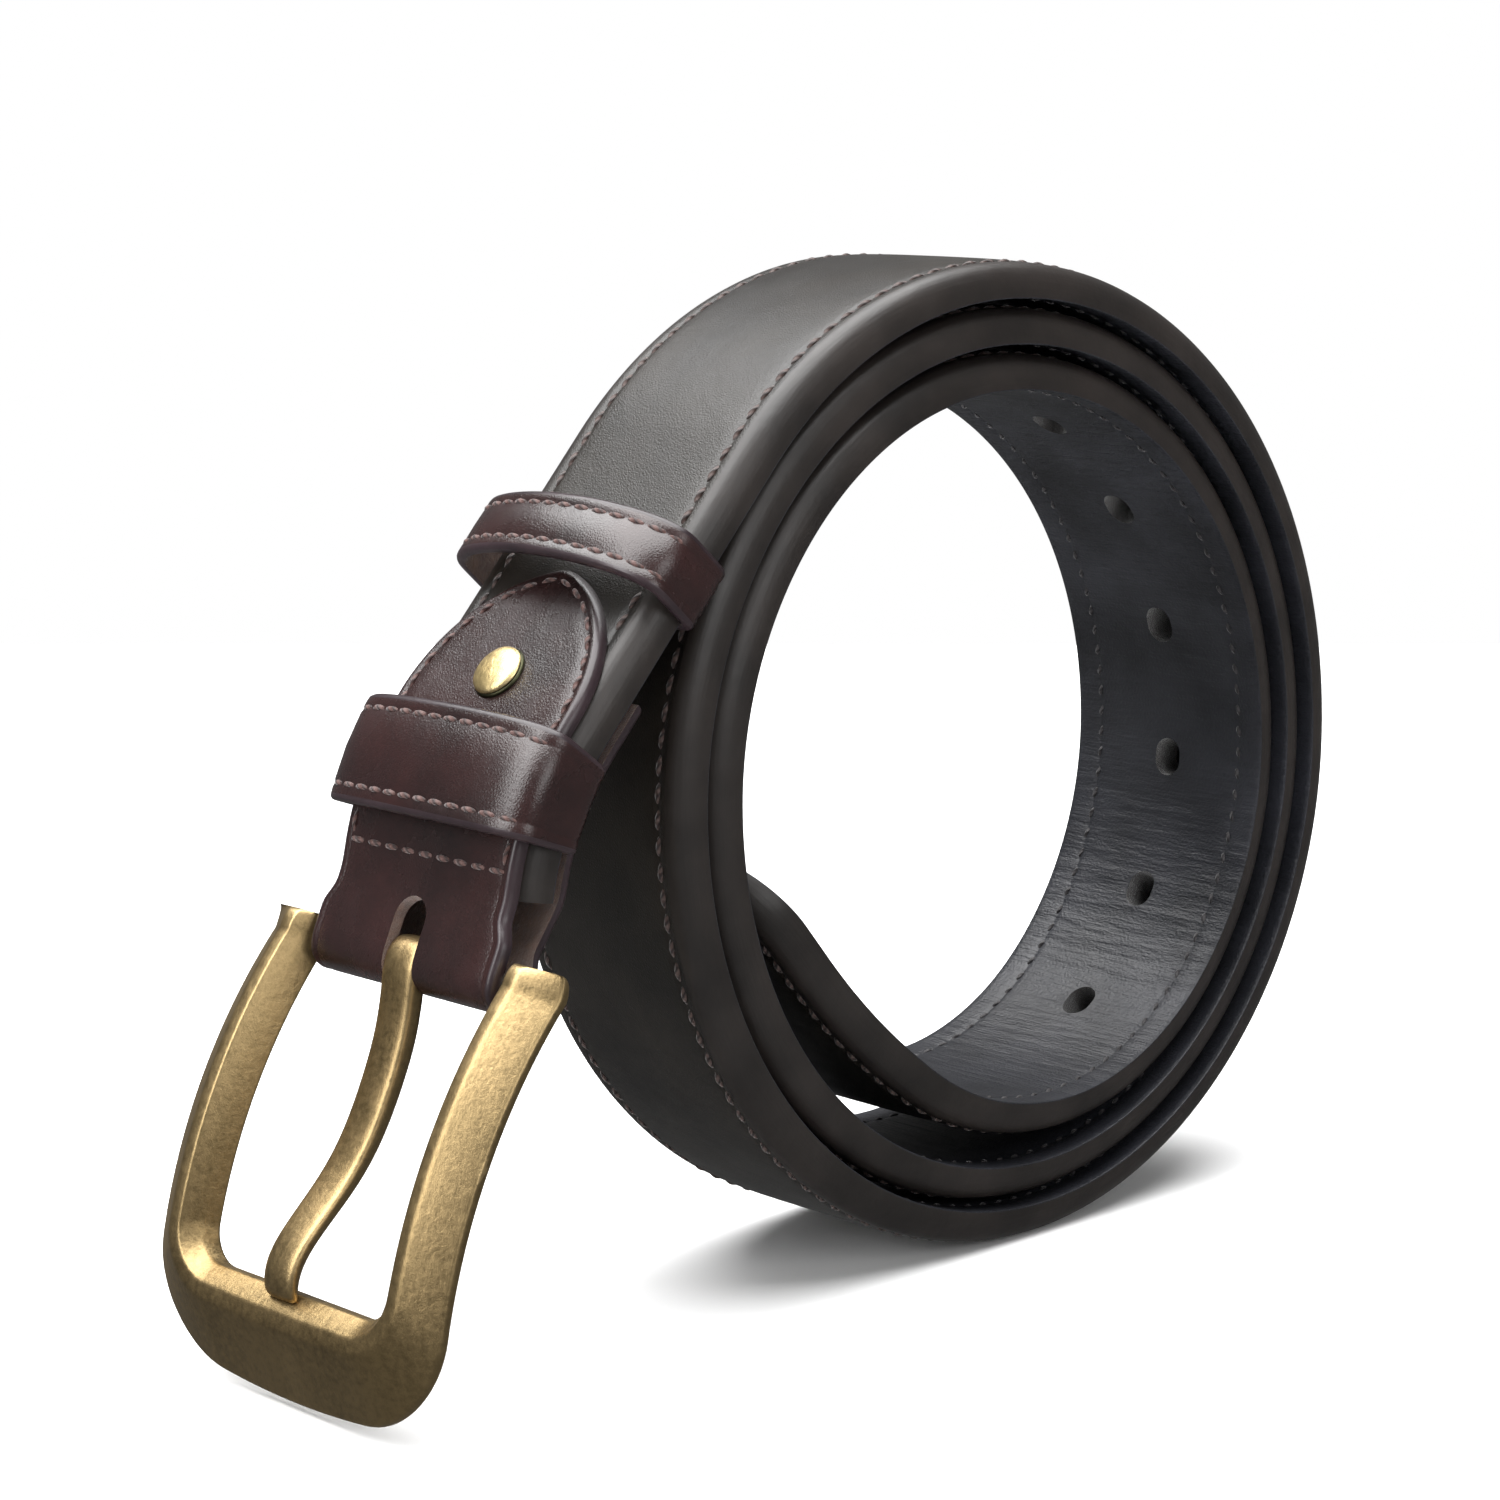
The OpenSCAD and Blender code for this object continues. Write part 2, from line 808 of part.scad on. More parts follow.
module buckle_frame() {
    color([0.58, 0.46, 0.27])
        at_buckle()
            difference() {
                union() {
                    frame_slab();
                    frame_ear(-1);
                    frame_ear(1);
                }
                translate([0, 0, -20])
                    linear_extrude(40)
                        opening_plan();
                // The inner walls of the legs lean outward toward the front.
                arch_sweep(-40, asin((opening_end - 2 - arch_peak) / arch_radius))
                    polygon([
                        [arch_radius - 10, -opening_width / 2 + 3],
                        [arch_radius + bevel_foot, -opening_width / 2],
                        [front_radius + 2, -crest_inner - 0.6],
                        [front_radius + 2, crest_inner + 0.6],
                        [arch_radius + bevel_foot, opening_width / 2],
                        [arch_radius - 10, opening_width / 2 - 3]
                    ]);
                rail_bevel();
                bar_shape();
            }
}

// The end rail's inner edge slopes toward the opening, where the prong's tip lies.
module rail_bevel() {
    top = front_height(opening_end + 3);
    rotate([90, 0, 0])
        linear_extrude(opening_width - 2 * opening_corner + 2, center = true)
            polygon([
                [opening_end - 3, top - 5],
                [opening_end + 3, top],
                [opening_end + 4.2, top + 1],
                [opening_end - 3, top + 3]
            ]);
}

module bar_shape() {
    rotate([90, 0, 0])
        cylinder(h = opening_width + 2 * bar_seat, r = bar_radius, center = true);
}

module buckle_bar() {
    color([0.65, 0.62, 0.55])
        at_buckle()
            bar_shape();
}

// ---- prong ----

eye_wall = 1.6;
prong_tip = opening_end + 1.5;

// Front of the prong as [distance along, height above the bar]: it sags, then rises over the rail.
prong_front = [
    [0, bar_radius + 1.4], [10, 2.2], [17, 1.2], [23, 1], [28, 1.7], [33, 3.3], [37, 5],
    [prong_tip - 6.5, 6.6], [prong_tip - 4, 7], [prong_tip - 1.5, 6.8], [prong_tip, 6]
];
prong_points = len(prong_front);
function prong_depth(i) = prong_thickness * (1 - 0.5 * i / (prong_points - 1));

module prong_side() {
    polygon([
        for (p = prong_front) p,
        for (i = [prong_points - 1:-1:0]) [prong_front[i][0], prong_front[i][1] - prong_depth(i)]
    ]);
}

module prong() {
    color([0.58, 0.46, 0.27])
        at_buckle()
            rotate([90, 0, 0])
                difference() {
                    union() {
                        cylinder(h = prong_width, r = eye_inner + eye_wall, center = true);
                        linear_extrude(prong_width, center = true)
                            prong_side();
                    }
                    cylinder(h = prong_width + 2 * cut, r = eye_inner, center = true);
                }
}

strap_face();
strap_core();
strap_lining();
face_thread();
lining_thread();
tab_leather();
tab_edge_thread();
tab_cross_thread();
fixed_keeper();
fixed_keeper_upper_thread();
fixed_keeper_lower_thread();
fixed_keeper_staple();
sliding_keeper();
sliding_keeper_upper_thread();
sliding_keeper_lower_thread();
sliding_keeper_staple();
rivet_cap();
rivet_collar();
rivet_post();
rivet_back();
buckle_frame();
buckle_bar();
prong();
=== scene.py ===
"""A rolled leather belt with a pin buckle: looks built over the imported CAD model."""

import bisect
import math
import random

import bpy
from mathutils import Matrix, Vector


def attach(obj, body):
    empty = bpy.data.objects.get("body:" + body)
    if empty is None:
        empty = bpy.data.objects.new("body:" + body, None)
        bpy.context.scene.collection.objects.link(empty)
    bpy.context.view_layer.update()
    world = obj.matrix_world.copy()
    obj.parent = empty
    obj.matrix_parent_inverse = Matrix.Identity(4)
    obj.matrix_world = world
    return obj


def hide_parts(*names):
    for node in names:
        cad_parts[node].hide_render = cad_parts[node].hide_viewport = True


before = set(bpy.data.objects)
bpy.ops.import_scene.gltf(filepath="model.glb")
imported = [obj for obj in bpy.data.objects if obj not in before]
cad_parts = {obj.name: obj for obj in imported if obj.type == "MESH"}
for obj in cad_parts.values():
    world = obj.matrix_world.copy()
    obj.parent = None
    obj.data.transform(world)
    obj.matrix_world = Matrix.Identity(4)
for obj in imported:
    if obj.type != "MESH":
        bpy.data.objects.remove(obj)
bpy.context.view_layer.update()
random.seed(7)

MM = 0.001

# Strap, in millimetres.
STRAP_WIDTH = 38.0
HALF_WIDTH = STRAP_WIDTH / 2
THICKNESS = 5.2
HALF_THICK = THICKNESS / 2
LINING_CORNER = -2.4
EDGE_INSET = 3.2
STITCH_INSET = 4.6
STITCH_PITCH = 3.6
TIP_CORNER = 13.0
HOLE_COUNT = 7
HOLE_PITCH = 23.3
FIRST_HOLE = 112.0
HOLE_WIDTH = 5.0
HOLE_LENGTH = 6.1

# Route of the strap: (radius, turn) for an arc that bends clockwise, (0, length) for a straight.
COIL_RADIUS = 76.3
COIL_OVAL = 8.0
TURN_PITCH = THICKNESS + 1.45
END_RADIUS = 41.5
END_TURN = 33.0
STRAIGHT = 46.5
SHOULDER = (67.5, 48.0)
TAIL_LENGTH = 20.0
GROUND_LEG = 5

# Tab, keepers, rivet.
TAB_THICK = 1.8
TAB_HALF = 18.0
FLAP_LENGTH = 22.5
BACK_FLAP = 8.0
NECK_LENGTH = 11.8
NECK_LEAN = 26.0
FOLD_RADIUS = 3.0
TAB_EDGE = 1.1
TAB_STITCH_INSET = 2.0
SLOT_HALF = 3.2
SLOT_TOP = 8.5
KEEPER_THICK = 1.5
KEEPER_CLEARANCE = 0.2
KEEPER_ROOM = 3.8
KEEPER_DROP = 1.8
KEEPER_STEP = 0.8
FIXED_KEEPER_TURN = 19.5
FIXED_KEEPER_WIDTH = 13.5
FIXED_KEEPER_BOW = 1.6
SLIDING_KEEPER_PLACE = 25.0
SLIDING_KEEPER_WIDTH = 10.0
SLIDING_KEEPER_BOW = 3.8
RIVET_PLACE = 4.4

# Buckle.
ARCH_RADIUS = 83.0
ARCH_PEAK = 26.0
ARCH_RISE = 3.5
FRAME_DEPTH = 5.4
FRAME_LENGTH = 60.5
FRAME_HALF = 30.5
OPENING_HALF = 20.0
RAIL_WIDTH = 14.5
BAR_RADIUS = 1.75


# ---- camera and light

VIEW_AZIMUTH = -44.0
VIEW_ELEVATION = 10.1
CAMERA_PLACE = (-412.9, -381.9, 173.0)
LENS = 89.2


def add_camera():
    azimuth = math.radians(VIEW_AZIMUTH)
    elevation = math.radians(VIEW_ELEVATION)
    level = math.cos(elevation)
    back = Vector((math.sin(azimuth) * level, -math.cos(azimuth) * level, math.sin(elevation)))
    camera = bpy.data.objects.new("camera", bpy.data.cameras.new("camera"))
    camera.data.lens = LENS
    camera.data.sensor_width = 36.0
    camera.location = Vector(CAMERA_PLACE) * MM
    camera.rotation_euler = back.to_track_quat("Z", "Y").to_euler()
    bpy.context.collection.objects.link(camera)
    bpy.context.scene.camera = camera


def add_area(name, place, target, size, power):
    light = bpy.data.objects.new(name, bpy.data.lights.new(name, "AREA"))
    light.data.shape = "RECTANGLE"
    light.data.size = size[0]
    light.data.size_y = size[1]
    light.data.energy = power
    light.location = Vector(place)
    aim = Vector(place) - Vector(target)
    light.rotation_euler = aim.to_track_quat("Z", "Y").to_euler()
    bpy.context.collection.objects.link(light)


def add_studio():
    scene = bpy.context.scene
    scene.view_settings.view_transform = "Standard"
    world = bpy.data.worlds.new("studio")
    world.use_nodes = True
    world.node_tree.nodes["Background"].inputs["Color"].default_value = (1, 1, 1, 1)
    world.node_tree.nodes["Background"].inputs["Strength"].default_value = 0.16
    scene.world = world
    add_area("top_softbox", (-0.1, 0.15, 1.15), (0, 0.05, 0.0), (1.5, 1.5), 52)
    add_area("left_softbox", (-0.85, 0.05, 0.5), (-0.05, 0, 0.08), (0.35, 0.7), 5)
    add_area("front_softbox", (-0.25, -0.95, 0.5), (0, 0, 0.08), (0.6, 0.5), 3)


def add_backdrop():
    """A white wall close behind the belt, which only the camera sees."""
    material = bpy.data.materials.new("backdrop")
    material.use_nodes = True
    shader = material.node_tree.nodes["Principled BSDF"]
    shader.inputs["Base Color"].default_value = (0, 0, 0, 1)
    shader.inputs["Specular IOR Level"].default_value = 0.0
    shader.inputs["Emission Color"].default_value = (1, 1, 1, 1)
    shader.inputs["Emission Strength"].default_value = 1.0
    mesh = bpy.data.meshes.new("backdrop")
    half = 5.0
    corners = [(-half, 0, 0), (half, 0, 0), (half, 0, half), (-half, 0, half)]
    mesh.from_pydata(corners, [], [(0, 1, 2, 3)])
    wall = bpy.data.objects.new("backdrop", mesh)
    mesh.materials.append(material)
    wall.rotation_euler = (0, 0, math.radians(VIEW_AZIMUTH))
    wall.location = (0.42, 0.43, -0.001)
    for kind in ("diffuse", "glossy", "transmission", "shadow"):
        setattr(wall, "visible_" + kind, False)
    bpy.context.collection.objects.link(wall)


def add_floor(material):
    mesh = bpy.data.meshes.new("floor")
    half = 6.0
    corners = [(-half, -half, 0), (half, -half, 0), (half, half, 0), (-half, half, 0)]
    mesh.from_pydata(corners, [], [(0, 1, 2, 3)])
    floor = bpy.data.objects.new("floor", mesh)
    floor.data.materials.append(material)
    floor.location = (0, 0, -0.0002)
    floor.visible_glossy = False
    bpy.context.collection.objects.link(floor)


# ---- the route

def quarter_radius(k):
    return COIL_RADIUS - TURN_PITCH * k / 4 - (k % 2) * COIL_OVAL


INNER = quarter_radius(12)
LEGS = [(END_RADIUS, END_TURN), (0, STRAIGHT), SHOULDER]
LEGS += [(quarter_radius(k), 90.0) for k in range(9)]
LEGS += [(INNER - 3.5, 45.0), (INNER - 9.5, 45.0), (INNER - 5, 35.0), (125.0, 15.0), (0, TAIL_LENGTH)]


def advance(state, radius, amount):
    """State after going amount (degrees on an arc, millimetres on a straight) along a leg."""
    x, z, heading = state
    if radius == 0:
        angle = math.radians(heading)
        return x + amount * math.cos(angle), z + amount * math.sin(angle), heading
    before = math.radians(heading)
    after = math.radians(heading - amount)
    x += radius * (math.sin(before) - math.sin(after))
    z -= radius * (math.cos(before) - math.cos(after))
    return x, z, heading - amount


def leg_length(leg):
    return leg[1] if leg[0] == 0 else leg[0] * math.radians(leg[1])


def leg_starts():
    states = [(0.0, 0.0, END_TURN + SHOULDER[1])]
    for leg in LEGS:
        states.append(advance(states[-1], leg[0], leg[1]))
    ground = states[GROUND_LEG]
    return [(x - ground[0], z - ground[1] + HALF_THICK, heading) for x, z, heading in states]


STARTS = leg_starts()
MARKS = [0.0]
for one_leg in LEGS:
    MARKS.append(MARKS[-1] + leg_length(one_leg))
LENGTH = MARKS[-1]
STRAIGHT_AT = MARKS[1]


def route(s):
    """State (x, z, heading) at distance s from the buckle end of the strap."""
    k = min(max(bisect.bisect_right(MARKS, s) - 1, 0), len(LEGS) - 1)
    radius = LEGS[k][0]
    rest = s - MARKS[k]
    return advance(STARTS[k], radius, rest if radius == 0 else math.degrees(rest / radius))


def at(state, height, across):
    """Point at a height off the path's middle and a distance across its width, in metres."""
    x, z, heading = state
    angle = math.radians(heading)
    return Vector((x - height * math.sin(angle), across, z + height * math.cos(angle))) * MM


def along(state):
    angle = math.radians(state[2])
    return Vector((math.cos(angle), 0, math.sin(angle)))


def outward(state):
    angle = math.radians(state[2])
    return Vector((-math.sin(angle), 0, math.cos(angle)))


# ---- points along a line

def marks_along(points):
    """Distance from the start of a polyline to each of its points."""
    marks = [0.0]
    for one, two in zip(points, points[1:]):
        marks.append(marks[-1] + math.dist(one, two))
    return marks


def even_points(points, count):
    """Ends of count even steps along a polyline."""
    marks = marks_along(points)
    even = []
    for k in range(count + 1):
        want = marks[-1] * k / count
        i = min(bisect.bisect_right(marks, want) - 1, len(points) - 2)
        t = (want - marks[i]) / max(marks[i + 1] - marks[i], 1e-9)
        even.append([a + (b - a) * t for a, b in zip(points[i], points[i + 1])])
    return even


def smoothed(points, passes, kept):
    """Points averaged with their neighbours, apart from this many at each end."""
    count = len(points)
    for _ in range(passes):
        before = list(points)
        for k in range(kept, count - kept):
            near = zip(before[k - 1], before[k], before[(k + 1) % count])
            points[k] = [(a + 2 * b + c) / 4 for a, b, c in near]
    return points


def rounded_columns(reach, steps):
    """Distances in from the outline, closer together where the edge is rounder."""
    return [reach * (1 - math.cos(math.radians(90 * k / steps))) for k in range(steps)]


# ---- mesh helpers

def finish_mesh(name, mesh, materials, crease=38):
    piece = bpy.data.objects.new(name, mesh)
    bpy.context.collection.objects.link(piece)
    for material in materials:
        mesh.materials.append(material)
    for polygon in mesh.polygons:
        polygon.use_smooth = True
    mesh.set_sharp_from_angle(angle=math.radians(crease))
    return piece


def textured_mesh(name, points, faces, coords):
    mesh = bpy.data.meshes.new(name)
    mesh.from_pydata(points, [], faces)
    layer = mesh.uv_layers.new(name="run")
    for loop, coord in enumerate(coords):
        layer.data[loop].uv = coord
    return mesh


def ring_mesh(name, rings, cross, down, columns, caps=True, closed_path=False):
    """Joins closed rings of points. cross and down hold the texture coordinates of columns and rings."""
    width = len(rings[0])
    points = [point for ring in rings for point in ring]
    faces = []
    tags = []
    coords = []
    spans = len(rings) if closed_path else len(rings) - 1
    for i in range(spans):
        after = (i + 1) % len(rings)
        for j in range(width):
            beside = (j + 1) % width
            faces.append((i * width + j, i * width + beside, after * width + beside, after * width + j))
            tags.append(columns[j])
            low, high = down[i], down[i + 1]
            coords += [(cross[j], low), (cross[j + 1], low), (cross[j + 1], high), (cross[j], high)]
    if caps:
        first = list(range(width))[::-1]
        last = [(len(rings) - 1) * width + j for j in range(width)]
        for cap, row in ((first, down[0]), (last, down[-1])):
            faces.append(tuple(cap))
            tags.append(columns[0])
            coords += [(cross[j % width], row) for j in cap]
    mesh = textured_mesh(name, points, faces, coords)
    for polygon, tag in zip(mesh.polygons, tags):
        polygon.material_index = tag
    mesh.update()
    return mesh


def cross_lengths(ring):
    total = [0.0]
    for j in range(len(ring)):
        total.append(total[-1] + (ring[(j + 1) % len(ring)] - ring[j]).length)
    return total


def cut_with(mesh, name, cutter_mesh):
    """Mesh with the cutter's space removed. The cut faces keep the cutter's material."""
    body = bpy.data.objects.new(name, mesh)
    cutter = bpy.data.objects.new(name + "_cutter", cutter_mesh)
    for item in (body, cutter):
        bpy.context.collection.objects.link(item)
    modifier = body.modifiers.new("cut", "BOOLEAN")
    modifier.operation = "DIFFERENCE"
    modifier.solver = "EXACT"
    modifier.material_mode = "TRANSFER"
    modifier.object = cutter
    bpy.context.view_layer.update()
    graph = bpy.context.evaluated_depsgraph_get()
    result = bpy.data.meshes.new_from_object(body.evaluated_get(graph))
    for item in (body, cutter):
        bpy.data.objects.remove(item)
    return result


def keep_tags(mesh, name, tags, crease=38):
    """New piece from the faces of a mesh that have one of the material numbers in tags."""
    numbers = [v for polygon in mesh.polygons if polygon.material_index in tags for v in polygon.vertices]
    used = sorted(set(numbers))
    place = {number: k for k, number in enumerate(used)}
    part = bpy.data.meshes.new(name)
    chosen = [polygon for polygon in mesh.polygons if polygon.material_index in tags]
    points = [mesh.vertices[n].co for n in used]
    part.from_pydata(points, [], [[place[v] for v in polygon.vertices] for polygon in chosen])
    source = mesh.uv_layers["run"].data
    layer = part.uv_layers.new(name="run")
    loop = 0
    for polygon, fresh in zip(chosen, part.polygons):
        fresh.material_index = tags.index(polygon.material_index)
        for old_loop in polygon.loop_indices:
            layer.data[loop].uv = source[old_loop].uv
            loop += 1
    return finish_mesh(name, part, [mesh.materials[tag] for tag in tags], crease)


def prism_mesh(name, outlines, material):
    """Closed prisms, each from a bottom and a top outline of the same length."""
    points = []
    faces = []
    for bottom, top in outlines:
        base = len(points)
        count = len(bottom)
        points += bottom + top
        faces.append(tuple(base + k for k in range(count))[::-1])
        faces.append(tuple(base + count + k for k in range(count)))
        for k in range(count):
            after = (k + 1) % count
            faces.append((base + k, base + after, base + count + after, base + count + k))
    mesh = bpy.data.meshes.new(name)
    mesh.from_pydata(points, [], faces)
    mesh.materials.append(material)
    mesh.uv_layers.new(name="run")
    return mesh


def oval(length, width, steps=24):
    """Outline of a slot with round ends, as pairs of distance along and across."""
    shift = (length - width) / 2
    outline = []
    for k in range(steps):
        angle = 2 * math.pi * (k + 0.5) / steps
        side = shift if math.cos(angle) > 0 else -shift
        outline.append((side + width / 2 * math.cos(angle), width / 2 * math.sin(angle)))
    return outline


# ---- materials

class Nodes:
    """Short way to build one material's node tree."""

    def __init__(self, name):
        self.material = bpy.data.materials.new(name)
        self.material.use_nodes = True
        self.tree = self.material.node_tree
        self.shader = self.tree.nodes["Principled BSDF"]

    def add(self, kind, **settings):
        node = self.tree.nodes.new(kind)
        for key, value in settings.items():
            setattr(node, key, value)
        return node

    def link(self, source, target):
        self.tree.links.new(source, target)

    def where(self, scale=(1, 1, 1), use_run=False):
        coords = self.add("ShaderNodeTexCoord")
        mapping = self.add("ShaderNodeMapping")
        mapping.inputs["Scale"].default_value = scale
        self.link(coords.outputs["UV" if use_run else "Object"], mapping.inputs["Vector"])
        return mapping.outputs["Vector"]

    def noise(self, vector, scale, detail=4.0, roughness=0.55):
        node = self.add("ShaderNodeTexNoise")
        node.inputs["Scale"].default_value = scale
        node.inputs["Detail"].default_value = detail
        node.inputs["Roughness"].default_value = roughness
        self.link(vector, node.inputs["Vector"])
        return node.outputs["Fac"]

    def cells(self, vector, scale):
        node = self.add("ShaderNodeTexVoronoi", feature="DISTANCE_TO_EDGE")
        node.inputs["Scale"].default_value = scale
        self.link(vector, node.inputs["Vector"])
        return node.outputs["Distance"]

    def ramp(self, factor, stops):
        node = self.add("ShaderNodeValToRGB")
        ramp = node.color_ramp
        while len(ramp.elements) < len(stops):
            ramp.elements.new(0.5)
        for element, (place, colour) in zip(ramp.elements, stops):
            element.position = place
            element.color = (*colour, 1)
        self.link(factor, node.inputs["Fac"])
        return node.outputs["Color"]

    def span(self, factor, low, high):
        node = self.add("ShaderNodeMapRange")
        node.inputs["To Min"].default_value = low
        node.inputs["To Max"].default_value = high
        self.link(factor, node.inputs["Value"])
        return node.outputs["Result"]

    def maths(self, operation, one, two):
        node = self.add("ShaderNodeMath", operation=operation)
        for socket, value in zip(node.inputs, (one, two)):
            if isinstance(value, (int, float)):
                socket.default_value = value
            else:
                self.link(value, socket)
        return node.outputs[0]

    def bump(self, height, strength, distance, under=None):
        node = self.add("ShaderNodeBump")
        node.inputs["Strength"].default_value = strength
        node.inputs["Distance"].default_value = distance
        self.link(height, node.inputs["Height"])
        if under is not None:
            self.link(under, node.inputs["Normal"])
        return node.outputs["Normal"]

    def set(self, **values):
        names = {
            "colour": "Base Color", "rough": "Roughness", "metal": "Metallic", "normal": "Normal",
            "coat": "Coat Weight", "coat_rough": "Coat Roughness", "specular": "Specular IOR Level",
            "sheen": "Sheen Weight", "sheen_rough": "Sheen Roughness", "anisotropic": "Anisotropic",
        }
        for key, value in values.items():
            socket = self.shader.inputs[names[key]]
            if isinstance(value, (int, float)):
                socket.default_value = value
            elif isinstance(value, tuple):
                socket.default_value = (*value, 1)
            else:
                self.link(value, socket)
        return self.material


def leather(name, dark, light, rough, grain=1500, grain_depth=0.00012, wrinkles=0.0, gloss=0.0):
    n = Nodes(name)
    here = n.where()
    run = n.where(use_run=True)
    blotch = n.noise(here, 55, 5)
    colour = n.ramp(blotch, [(0.3, dark), (0.72, light)])
    pebble = n.cells(here, grain)
    fine = n.noise(here, grain * 1.6, 3)
    height = n.maths("ADD", n.span(pebble, 0.0, 1.2), n.maths("MULTIPLY", fine, 0.5))
    normal = n.bump(height, 0.55, grain_depth)
    if wrinkles > 0:
        stretched = n.where(scale=(60, 420, 1), use_run=True)
        crease = n.noise(stretched, 1.0, 5, 0.6)
        normal = n.bump(crease, wrinkles, 0.0006, normal)
    wide = n.noise(run, 140, 3)
    normal = n.bump(wide, 0.25, 0.0005, normal)
    shine = n.span(n.noise(here, 130, 4), rough - 0.07, rough + 0.09)
    return n.set(colour=colour, rough=shine, normal=normal, coat=gloss, coat_rough=0.3, specular=0.45)


def edge_paint(name, dark, light, rough):
    n = Nodes(name)
    here = n.where()
    colour = n.ramp(n.noise(here, 90, 6), [(0.3, dark), (0.7, light)])
    stretched = n.where(scale=(900, 60, 1), use_run=True)
    normal = n.bump(n.noise(stretched, 1.0, 4), 0.22, 0.0003)
    normal = n.bump(n.noise(here, 700, 4), 0.2, 0.0002, normal)
    shine = n.span(n.noise(here, 220, 3), rough - 0.08, rough + 0.1)
    return n.set(colour=colour, rough=shine, normal=normal, specular=0.5)


def thread(name, dark, light):
    n = Nodes(name)
    run = n.where(use_run=True)
    wave = n.add("ShaderNodeTexWave", wave_type="BANDS", bands_direction="DIAGONAL")
    wave.inputs["Scale"].default_value = 420
    wave.inputs["Distortion"].default_value = 1.2
    n.link(run, wave.inputs["Vector"])
    fuzz = n.noise(n.where(), 2600, 4)
    height = n.maths("ADD", wave.outputs["Fac"], n.maths("MULTIPLY", fuzz, 0.6))
    normal = n.bump(height, 0.8, 0.00018)
    # Colour follows the twist's height: painted shade in the grooves between the turns, lighter on the
    # crests.
    colour = n.ramp(height, [(0.25, dark), (1.0, light)])
    return n.set(colour=colour, rough=0.62, normal=normal, sheen=0.25, sheen_rough=0.4)


def suede(name, dark, light):
    n = Nodes(name)
    here = n.where()
    colour = n.ramp(n.noise(here, 420, 8, 0.75), [(0.3, dark), (0.7, light)])
    normal = n.bump(n.noise(here, 1800, 6, 0.8), 0.9, 0.0004)
    return n.set(colour=colour, rough=0.92, normal=normal, sheen=0.4, sheen_rough=0.5)


def old_brass(name, patina, worn, bright):
    """Brass that is dark in its hollows and rubbed bright along its edges."""
    n = Nodes(name)
    here = n.where()
    geometry = n.add("ShaderNodeNewGeometry")
    wear = n.ramp(geometry.outputs["Pointiness"], [(0.485, (0, 0, 0)), (0.56, (1, 1, 1))])
    spots = n.noise(here, 900, 8, 0.75)
    clouds = n.noise(here, 70, 4)
    mixed = n.maths("ADD", n.maths("MULTIPLY", spots, 0.6), n.maths("MULTIPLY", clouds, 0.4))
    base = n.ramp(mixed, [(0.38, patina), (0.56, worn)])
    mix = n.add("ShaderNodeMix", data_type="RGBA")
    n.link(n.maths("MULTIPLY", wear, n.span(spots, 0.5, 1.3)), mix.inputs["Factor"])
    n.link(base, mix.inputs[6])
    mix.inputs[7].default_value = (*bright, 1)
    pits = n.bump(n.noise(here, 900, 6, 0.7), 0.3, 0.00025)
    scratch = n.noise(n.where(scale=(300, 1600, 300)), 1.0, 3)
    normal = n.bump(scratch, 0.12, 0.0002, pits)
    return n.set(colour=mix.outputs[2], metal=1.0, rough=n.span(spots, 0.28, 0.52), normal=normal)


def plain_metal(name, colour, rough):
    n = Nodes(name)
    here = n.where()
    normal = n.bump(n.noise(here, 800, 5), 0.25, 0.0002)
    tint = n.ramp(n.noise(here, 260, 5), [(0.3, tuple(c * 0.6 for c in colour)), (0.7, colour)])
    return n.set(colour=tint, metal=1.0, rough=rough, normal=normal)


def floor_finish():
    return Nodes("floor").set(colour=(0.93, 0.93, 0.93), rough=0.6, specular=0.2)


FACE = leather("face_leather", (0.0055, 0.0045, 0.0035), (0.0145, 0.0115, 0.0085), 0.38,
               grain=2300, grain_depth=0.0001)
EDGE = edge_paint("edge_paint", (0.0095, 0.0072, 0.0062), (0.019, 0.0145, 0.0125), 0.42)
LINING = leather("lining_leather", (0.008, 0.0085, 0.011), (0.021, 0.022, 0.028), 0.42,
                 grain=1300, wrinkles=0.8)
HOLE = suede("hole_wall", (0.006, 0.005, 0.005), (0.02, 0.016, 0.014))
BURGUNDY = leather("burgundy_leather", (0.0075, 0.003, 0.003), (0.024, 0.0075, 0.007), 0.26,
                   grain=2300, grain_depth=0.00009, gloss=0.35)
TRIM_EDGE = edge_paint("trim_edge_paint", (0.012, 0.007, 0.009), (0.028, 0.017, 0.020), 0.32)
SUEDE = suede("raw_suede", (0.05, 0.022, 0.014), (0.16, 0.08, 0.05))
FACE_THREAD = thread("face_thread", (0.010, 0.005, 0.0045), (0.05, 0.028, 0.023))
LINING_THREAD = thread("lining_thread", (0.007, 0.006, 0.007), (0.024, 0.021, 0.023))
TRIM_THREAD = thread("trim_thread", (0.016, 0.006, 0.0055), (0.08, 0.036, 0.03))
BRASS = old_brass("antique_brass", (0.075, 0.052, 0.020), (0.215, 0.150, 0.068), (0.72, 0.53, 0.27))
CAP_BRASS = old_brass("bright_brass", (0.30, 0.21, 0.08), (0.55, 0.41, 0.18), (0.85, 0.68, 0.36))
COLLAR = plain_metal("dark_collar", (0.07, 0.07, 0.04), 0.45)
STEEL = plain_metal("steel", (0.55, 0.54, 0.51), 0.35)


# ---- strap

def face_height(inset):
    """Height of the face over the strap's middle, from the painted edge in to the middle."""
    if inset < EDGE_INSET:
        reach = 1 - max(inset, 0) / EDGE_INSET
        return LINING_CORNER + (HALF_THICK - LINING_CORNER) * math.sqrt(max(0.0, 1 - reach * reach))
    crown = 0.35 * (1 - math.exp(-(inset - EDGE_INSET) / 3.5))
    groove = 0.22 * math.exp(-((inset - STITCH_INSET) / 0.55) ** 2)
    return HALF_THICK + crown - groove


